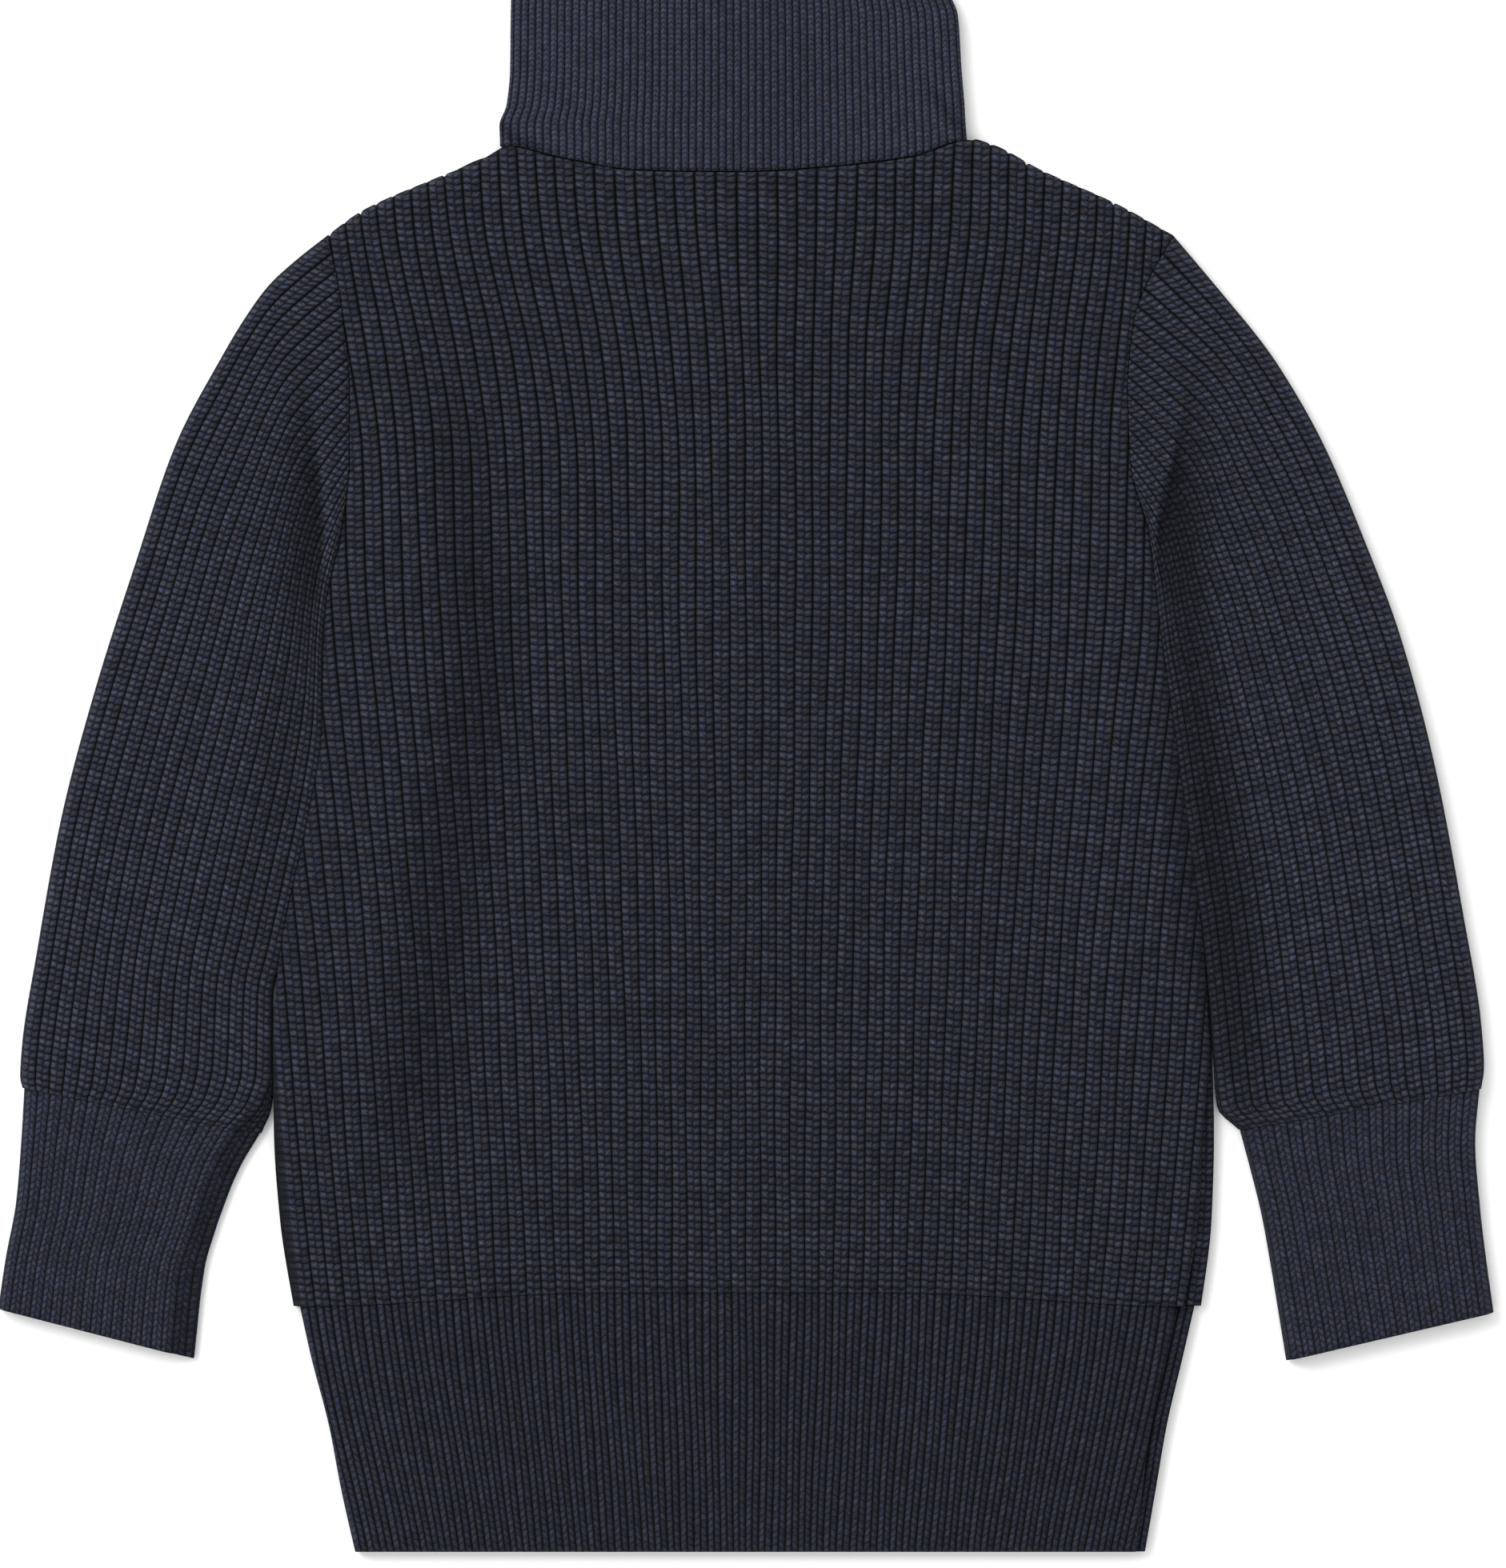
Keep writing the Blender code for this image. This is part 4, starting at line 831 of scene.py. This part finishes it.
def build_collar(material):
    """The stand collar: one wall from the zip round the left fold, the back and the right fold
    back to the zip, in fine ribs."""
    k = rib_steps(COLLAR_RIBS, EVEN_PLACES)
    share, rib = k / COLLAR_RIBS, relief(k, FINE)
    front_ribs = COLLAR_FRONT_RIBS
    front_k = rib_steps(front_ribs, THIRD_PLACES)
    ends_in = front_ribs * np.arange(len(THIRD_PLACES) + 1)
    front_groove = 0.6 * UNDER_RELIEF * (1 - relief(front_k, FINE))
    slit = {-1: ZIP_X - SLIT_HALF, 1: ZIP_X + SLIT_HALF}
    left_x = slit[-1] + (NECK_LEFT - slit[-1]) * front_k / front_ribs
    right_x = (slit[1] + (NECK_RIGHT - slit[1]) * front_k / front_ribs)[::-1]
    outer, inner = [], []
    for part in np.linspace(0, 1, COLLAR_ROWS):
        left = np.column_stack([*collar_front(left_x, part, -1), front_groove])
        right = np.column_stack([*collar_front(right_x, part, 1), front_groove[::-1]])
        left_fold, left_inside = collar_fold(part, -1)
        right_fold, right_inside = collar_fold(part, 1)
        x, y, side = collar_back(share, part)
        ends = min(part, 1 - part) * (COLLAR_TOP - y.min())
        full = roundness(side, EDGE_ROUND) * (END_FULL + (1 - END_FULL) * float(ease(ends / SEAM_ROUND)))
        z = collar_under(x, y) + EDGE_PLY + (COLLAR_PLY - EDGE_PLY + COLLAR_RIB * rib + folds(x, y)) * full
        middle = np.stack([x, y, z], axis=1)
        outer.append(np.concatenate([left, left_fold, middle, right_fold[::-1], right]))
        x, y, _ = collar_back(np.array(COLLAR_INSIDE), part)
        y = y + (SEAM_BEVEL if part == 0 else 0)
        middle = np.stack([x, y, collar_under(x, y)], axis=1)
        left_top, right_top = left[ends_in], right[ends_in]
        left_top[:, 2] = right_top[:, 2] = PLY
        inner.append(np.concatenate([left_top, left_inside, middle, right_inside, right_top]))
    outer, inner = np.array(outer), np.array(inner)
    front_at = np.linspace(0, 0.03, len(front_k))
    fold = 0.035 + 0.005 * np.arange(4)
    outer_at = np.concatenate([front_at, fold, 0.06 + 0.88 * share, 1 - fold[::-1], 1 - front_at[::-1]])
    few = front_at[ends_in]
    inner_at = np.concatenate([few, [0.045], 0.06 + 0.88 * np.array(COLLAR_INSIDE), [0.955], 1 - few[::-1]])
    ribs = np.concatenate([
        front_k, front_ribs + 0.4 * np.arange(1, 5), front_ribs + 2 + k,
        front_ribs + 2 + COLLAR_RIBS + 0.4 * np.arange(1, 5), front_ribs + 4 + COLLAR_RIBS + front_k,
    ])
    up = (outer[:, :, 1] - COLLAR_TOP) / COLLAR_COURSE
    return wall("stand_collar", outer, knit_at(ribs, up), outer_at, inner, inner_at, material)


def build_tape(side, material):
    """One woven zip tape, very slightly rippled by its stitching."""
    across = np.linspace(TAPE_NEAR, TAPE_FAR, TAPE_COLUMNS)
    along = np.linspace(TAPE_LOW, TAPE_TOP, TAPE_ROWS)
    x = np.broadcast_to(ZIP_X + side * across, (len(along), len(across)))
    y = np.broadcast_to(along[:, None], x.shape)
    ripple = 0.06 * np.sin(y / 2.3) * ease((across - 3) / 6)
    lower = np.stack([x, y, TAPE_UNDER + ripple], axis=-1)
    upper = np.stack([x, y, TAPE_OVER + ripple], axis=-1)
    present = np.ones((len(along) - 1, len(across) - 1), bool)
    return slab(f"tape_{SIDES[side]}", lower, upper, knit_at(across, y), present, material)


def build_teeth(material):
    """The closed teeth: a row of rounded coil turns on each side that lock past the centre line."""
    points, faces = [], []
    for side in (-1, 1):
        first = TEETH_LOW + (TOOTH_PITCH / 2 if side > 0 else 0)
        for y in np.arange(first, TEETH_TOP, TOOTH_PITCH):
            start = len(points)
            middle, half = (TOOTH_UNDER + TOOTH_OVER) / 2, (TOOTH_OVER - TOOTH_UNDER) / 2
            for out, high, wide in TOOTH_RINGS:
                for corner in range(TOOTH_CORNERS):
                    angle = 2 * math.pi / TOOTH_CORNERS * (corner + 0.5)
                    turn_y, turn_z = wide * math.cos(angle), half * high * math.sin(angle)
                    points.append((ZIP_X + side * out, y + turn_y, middle + turn_z))
            rings = np.arange(start, len(points)).reshape(-1, TOOTH_CORNERS)
            rings = np.column_stack([rings, rings[:, 0]])
            faces += quads(rings) + [rings[0, :-1].tolist(), rings[-1, :-1].tolist()]
    points = np.array(points)
    return add_cloth("teeth", points, points[:, :2], faces, material)


def rounded_copy(node, radius, material):
    """A copy of a solid with softened edges."""
    obj = bpy.data.objects.new(f"{node}_rounded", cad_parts[node].data.copy())
    bpy.context.collection.objects.link(obj)
    form = bmesh.new()
    form.from_mesh(obj.data)
    bmesh.ops.remove_doubles(form, verts=form.verts, dist=MERGE)
    bmesh.ops.dissolve_limit(form, angle_limit=math.radians(1), verts=form.verts, edges=form.edges)
    sharp = [edge for edge in form.edges if len(edge.link_faces) == 2 and edge.calc_face_angle() > 0.5]
    bmesh.ops.bevel(
        form, geom=sharp, offset=radius * MM, segments=2, profile=0.5, affect="EDGES", clamp_overlap=True
    )
    form.to_mesh(obj.data)
    form.free()
    obj.data.materials.clear()
    obj.data.materials.append(material)
    obj.data.shade_smooth()
    obj.data.set_sharp_from_angle(angle=math.radians(40))
    return obj


class Field:
    """A number that varies over a surface: shader nodes, written as a formula."""

    def __init__(self, tree, socket):
        self.tree, self.socket = tree, socket

    def math(self, operation, *others):
        """The result of a sum on this field and the others."""
        node = self.tree.nodes.new("ShaderNodeMath")
        node.operation = operation
        for entry, value in zip(node.inputs, (self, *others)):
            plug(self.tree, value, entry)
        return Field(self.tree, node.outputs[0])

    __add__ = __radd__ = partialmethod(math, "ADD")
    __sub__ = partialmethod(math, "SUBTRACT")
    __mul__ = __rmul__ = partialmethod(math, "MULTIPLY")
    __pow__ = partialmethod(math, "POWER")
    __abs__ = partialmethod(math, "ABSOLUTE")
    floor = partialmethod(math, "FLOOR")
    above = partialmethod(math, "GREATER_THAN")
    at_least = partialmethod(math, "MAXIMUM")

    def __rsub__(self, other):
        return self * -1 + other

    def step(self, start, end):
        """A soft step from 0 where the field is start to 1 where it is end."""
        node = self.tree.nodes.new("ShaderNodeMapRange")
        node.interpolation_type = "SMOOTHSTEP"
        plug(self.tree, self, node.inputs["Value"])
        node.inputs["From Min"].default_value = start
        node.inputs["From Max"].default_value = end
        return Field(self.tree, node.outputs["Result"])


def plug(tree, value, entry):
    """Puts a field or a plain number into a node's input."""
    if isinstance(value, Field):
        tree.links.new(value.socket, entry)
    else:
        entry.default_value = value


def vector(x, y, z=0.0):
    """Fields or numbers as the parts of one vector."""
    node = x.tree.nodes.new("ShaderNodeCombineXYZ")
    for entry, value in zip(node.inputs, (x, y, z), strict=True):
        plug(x.tree, value, entry)
    return Field(x.tree, node.outputs[0])


def chance(x, y, z=0.0):
    """A number from 0 to 1, drawn for each x, y and z."""
    node = x.tree.nodes.new("ShaderNodeTexWhiteNoise")
    node.noise_dimensions = "3D"
    plug(x.tree, vector(x, y, z), node.inputs["Vector"])
    return Field(x.tree, node.outputs["Value"])


def clouds(x, y, detail=2.0):
    """Soft noise round 0, one patch to a unit, from about -0.5 to 0.5."""
    node = x.tree.nodes.new("ShaderNodeTexNoise")
    node.noise_dimensions = "2D"
    plug(x.tree, vector(x, y), node.inputs["Vector"])
    node.inputs["Scale"].default_value = 1.0
    node.inputs["Detail"].default_value = detail
    return Field(x.tree, node.outputs[0]) - 0.5


def within_rib(u):
    """The rib's number, how far this is from its middle, and 1 right of it."""
    rib = u.floor()
    a = u - rib
    return rib, abs(a - 0.5), a.above(0.5)


def chunky_stitch(u, v):
    """Body stitch: in each rib, courses of two puffed loops that sag between them."""
    rib, off, right = within_rib(u)
    w = v + 0.3 * chance(rib, 3.0) + 0.16 * right + 0.9 * clouds(u * 0.13, v * 0.04)
    w = w + 0.14 * (1 - 4 * off * off)
    course = w.floor()
    f = w - course
    lot = chance(rib, course, right)
    across = (1 - ((off - 0.236) * 4.05) ** 2).at_least(0.0)
    along = 1 - abs(2 * f - 1) ** 1.9
    puff = across ** 0.6 * along
    fibre = clouds(3.1 * w - 5.0 * off, 1.1 * w + 2.2 * off + 7 * lot, 1.0)
    # painted shade: the colour is darker in the grooves between ribs, less so low on the body
    groove = (0.5 - off).step(0.01, 0.12)
    dark = 0.08 + 0.92 * groove + 0.58 * (1 - groove) * (1 - v.step(50.0, 135.0))
    # painted shade between the loops and on each rib's right half, away from the light
    tone = (0.14 + 1.78 * puff) * (0.72 + 0.56 * lot) * (1 + 1.9 * fibre) * (1.08 - 0.14 * right)
    tone = tone * dark * (1 + 0.35 * clouds(u * 0.5, v * 0.22))
    return puff * (0.8 + 0.4 * lot) + 0.25 * fibre, tone


def braid_stitch(u, v, apart, half, bead, ground, shift):
    """Rib stitch: two strands of beads in each rib, apart either side of its middle and half as
    wide as given; bead is how strongly they bead, ground how dark the painted shade is between them,
    and shift how far, in courses, one strand's beads are from the other's."""
    rib, off, right = within_rib(u)
    w = v + shift * right + chance(rib, 9.0) + 0.5 * clouds(u * 0.2, v * 0.08) + 0.9 * (off - apart)
    course = w.floor()
    f = w - course
    lot = chance(rib, course, right)
    strand = (1 - ((off - apart) * (1 / half)) ** 2).at_least(0.0)
    beads = 1 - abs(2 * f - 1) ** 2 * bead
    puff = (strand * beads) ** 0.7
    groove = (0.5 - off).step(0.0, 0.09)
    fibre = clouds(2.6 * w - 4.0 * off, 1.3 * w + 3.0 * off + 7 * lot, 1.0)
    # painted shade in the colour: darker between the strands, on each rib's right half, away from the light,
    # and in the grooves between ribs
    tone = (ground + (1.2 - ground) * puff) * (0.78 + 0.44 * lot) * (1 + 1.4 * fibre) * (1.08 - 0.14 * right)
    tone = tone * (0.45 + 0.55 * groove)
    return puff * (0.85 + 0.3 * lot) + 0.2 * fibre, tone * (1 + 0.3 * clouds(u * 0.5, v * 0.22))


hem_stitch = partial(braid_stitch, apart=0.245, half=0.215, bead=0.7, ground=0.06, shift=0.4)
cuff_stitch = partial(braid_stitch, apart=0.24, half=0.25, bead=0.85, ground=0.16, shift=0.5)
collar_stitch = partial(braid_stitch, apart=0.14, half=0.32, bead=0.8, ground=0.2, shift=0.0)


def tape_weave(u, v):
    """Zip tape: fine slanting twill and a row of stitching along its middle."""
    twill = abs((u * 2.6 + v * 1.7) - (u * 2.6 + v * 1.7).floor() - 0.5) * 2
    stitch = abs(v * 0.4 - (v * 0.4).floor() - 0.5).step(0.12, 0.2) * (1 - abs(u - 8.5).step(0.2, 0.45))
    grain = clouds(u * 3, v * 3)
    return twill * 0.5 + stitch + 0.2 * grain, 0.6 + 0.5 * twill + 0.9 * stitch + 0.4 * grain


def coil_gloss(u, v):
    """Zip teeth: faint drawn marks on smooth nylon."""
    grain = clouds(u * 1.5, v * 4)
    return grain, 1 + 0.5 * grain


def new_material(name, slot_colour, roughness, metallic=0.0):
    """A plain material, its node tree and its shader."""
    material = bpy.data.materials.new(name)
    material.use_nodes = True
    shader = material.node_tree.nodes["Principled BSDF"]
    shader.inputs["Base Color"].default_value = (*slot_colour, 1)
    shader.inputs["Roughness"].default_value = roughness
    shader.inputs["Metallic"].default_value = metallic
    return material, material.node_tree, shader


def first_two(tree, socket):
    """The first two parts of a vector, as fields."""
    split = tree.nodes.new("ShaderNodeSeparateXYZ")
    tree.links.new(socket, split.inputs[0])
    return Field(tree, split.outputs["X"]), Field(tree, split.outputs["Y"])


def add_relief(tree, shader, height, strength, depth):
    """Fine relief from a height field. depth is in millimetres."""
    bump = tree.nodes.new("ShaderNodeBump")
    bump.inputs["Strength"].default_value = strength
    bump.inputs["Distance"].default_value = depth * MM
    tree.links.new(height.socket, bump.inputs["Height"])
    tree.links.new(bump.outputs["Normal"], shader.inputs["Normal"])


def knitted(name, colour, stitch, depth, gain=1.0, fuzz=0.05, roughness=0.95):
    """Yarn in this stitch. depth is how far the loops stand out, in millimetres."""
    material, tree, shader = new_material(name, colour, roughness)
    uv = tree.nodes.new("ShaderNodeUVMap")
    uv.uv_map = "knit"
    u, v = first_two(tree, uv.outputs["UV"])
    height, tone = stitch(u, v)
    # the painted shade and painted highlight on each point darken or lighten the yarn's colour
    light = tree.nodes.new("ShaderNodeAttribute")
    light.attribute_name = "light"
    tone = tone * Field(tree, light.outputs["Fac"]) * gain
    warmth = clouds(u * 1.3 + 40, v * 0.6)
    red = tone * colour[0] * (1 + 0.5 * warmth)
    mixed = vector(red, tone * colour[1], tone * colour[2] * (1 - 0.3 * warmth))
    tree.links.new(mixed.socket, shader.inputs["Base Color"])
    add_relief(tree, shader, height, 1.0, depth)
    shader.inputs["Specular IOR Level"].default_value = 0.08
    shader.inputs["Sheen Weight"].default_value = fuzz
    shader.inputs["Sheen Roughness"].default_value = 0.5
    shader.inputs["Sheen Tint"].default_value = (0.55, 0.60, 0.72, 1)
    return material


def brushed_metal(name, colour):
    """Dark nickel with fine brushing along it and small rubbed marks."""
    material, tree, shader = new_material(name, colour, 0.3, 1.0)
    place = tree.nodes.new("ShaderNodeTexCoord")
    x, y = first_two(tree, place.outputs["Object"])
    brushing = clouds(x * 9000, y * 300)
    marks = clouds(x * 700, y * 700, 4.0)
    plug(tree, 0.30 + 0.16 * brushing + 0.20 * marks, shader.inputs["Roughness"])
    add_relief(tree, shader, brushing + marks, 0.3, 0.02)
    return material


def stands_for(obj, body, node):
    """obj moves with this body and replaces this solid."""
    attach(obj, body)
    if node:
        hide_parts(node)
    return obj


def add_light(name, size, power, place, aim):
    """A square softbox at this place, turned to this aim, in metres."""
    lamp = bpy.data.lights.new(name, "AREA")
    lamp.size, lamp.energy = size, power
    obj = bpy.data.objects.new(name, lamp)
    bpy.context.collection.objects.link(obj)
    obj.location = place
    way = np.array(aim) - place
    obj.rotation_euler = (
        0,
        math.atan2(-math.hypot(way[0], way[1]), -way[2]),
        math.atan2(way[1], way[0]),
    )
    return obj


def build_studio():
    """A plain white floor, a soft key light from the upper left and even light all round."""
    bpy.context.scene.view_settings.view_transform = "Standard"
    bpy.ops.mesh.primitive_plane_add(size=8, location=(0, 0, 0))
    floor = bpy.context.object
    floor.name = "floor"
    material, _, shader = new_material("white_floor", (0.9, 0.9, 0.9), 0.9)
    shader.inputs["Specular IOR Level"].default_value = 0.0
    floor.data.materials.append(material)
    world = bpy.data.worlds.new("studio")
    bpy.context.scene.world = world
    world.use_nodes = True
    sky = world.node_tree.nodes["Background"]
    sky.inputs["Color"].default_value = (1, 1, 1, 1)
    sky.inputs["Strength"].default_value = 1.02
    add_light("key", size=2.6, power=150.0, place=np.array((-2.5, 2.1, 2.4)), aim=(0, 0, 0))
    lens = bpy.data.cameras.new("camera")
    lens.lens, lens.sensor_width = LENS, SENSOR
    camera = bpy.data.objects.new("camera", lens)
    bpy.context.collection.objects.link(camera)
    distance = VIEW_TALL / 2 / (SENSOR / 2 / LENS)
    camera.location = (VIEW_MIDDLE[0] * MM, VIEW_MIDDLE[1] * MM, (distance + VIEW_HEIGHT) * MM)
    bpy.context.scene.camera = camera


def main():
    """Builds every piece, says what it stands for, and sets up the studio."""
    body_colour, rib_colour = (0.0140, 0.0153, 0.0236), (0.0168, 0.0182, 0.0290)
    body_yarn = knitted("body_yarn", body_colour, chunky_stitch, depth=0.9)
    # painted light: the sleeves take the body's yarn, painted lighter by their gain
    sleeve_yarn_painted_light = knitted("sleeve_yarn_painted_light", body_colour, chunky_stitch, depth=0.9, gain=1.21)
    hem_yarn = knitted("hem_yarn", rib_colour, hem_stitch, depth=0.7, gain=1.03)
    cuff_yarn = knitted("cuff_yarn", rib_colour, cuff_stitch, depth=0.7, gain=1.35)
    collar_yarn = knitted("collar_yarn", rib_colour, collar_stitch, depth=0.5, gain=1.48)
    tape = knitted("tape_twill", (0.012, 0.013, 0.017), tape_weave, depth=0.1, fuzz=0.05, roughness=0.8)
    nylon = knitted("nylon_coil", (0.014, 0.015, 0.019), coil_gloss, depth=0.03, fuzz=0.0, roughness=0.35)
    metal = brushed_metal("brushed_nickel", (0.20, 0.20, 0.21))

    back = stands_for(build_back(body_yarn), "garment", "back_panel")
    back_hem = stands_for(build_back_hem(hem_yarn), "garment", "back_hem_rib")
    front = stands_for(build_front(body_yarn), "garment", "front_panel")
    front_hem = stands_for(build_front_hem(hem_yarn), "garment", "front_hem_rib")
    sleeves, cuffs = [], []
    for side, sleeve, cuff in ((-1, LEFT_SLEEVE, LEFT_CUFF), (1, RIGHT_SLEEVE, RIGHT_CUFF)):
        word = SIDES[side]
        made = build_tube(
            f"arm_{word}", sleeve, side, CHUNKY, SLEEVE_RIB, SLEEVE_COURSE, SLEEVE_ROWS, sleeve_yarn_painted_light,
            seam=True,
        )
        sleeves.append(stands_for(made, "garment", f"sleeve_{word}"))
        made = build_tube(f"wrist_{word}", cuff, side, ROUNDED, CUFF_RIB, RIB_COURSE, CUFF_ROWS, cuff_yarn)
        cuffs.append(stands_for(made, "garment", f"cuff_{word}"))
    collar = stands_for(build_collar(collar_yarn), "garment", "collar")
    tapes = [stands_for(build_tape(side, tape), "garment", f"zip_tape_{word}")
             for side, word in SIDES.items()]
    teeth = stands_for(build_teeth(nylon), "garment", None)
    for node, radius, carrier in (("zip_slider", 0.12, "garment"), ("pull_tab", 0.2, "pull")):
        stands_for(rounded_copy(node, radius, metal), carrier, node)

    build_studio()


main()
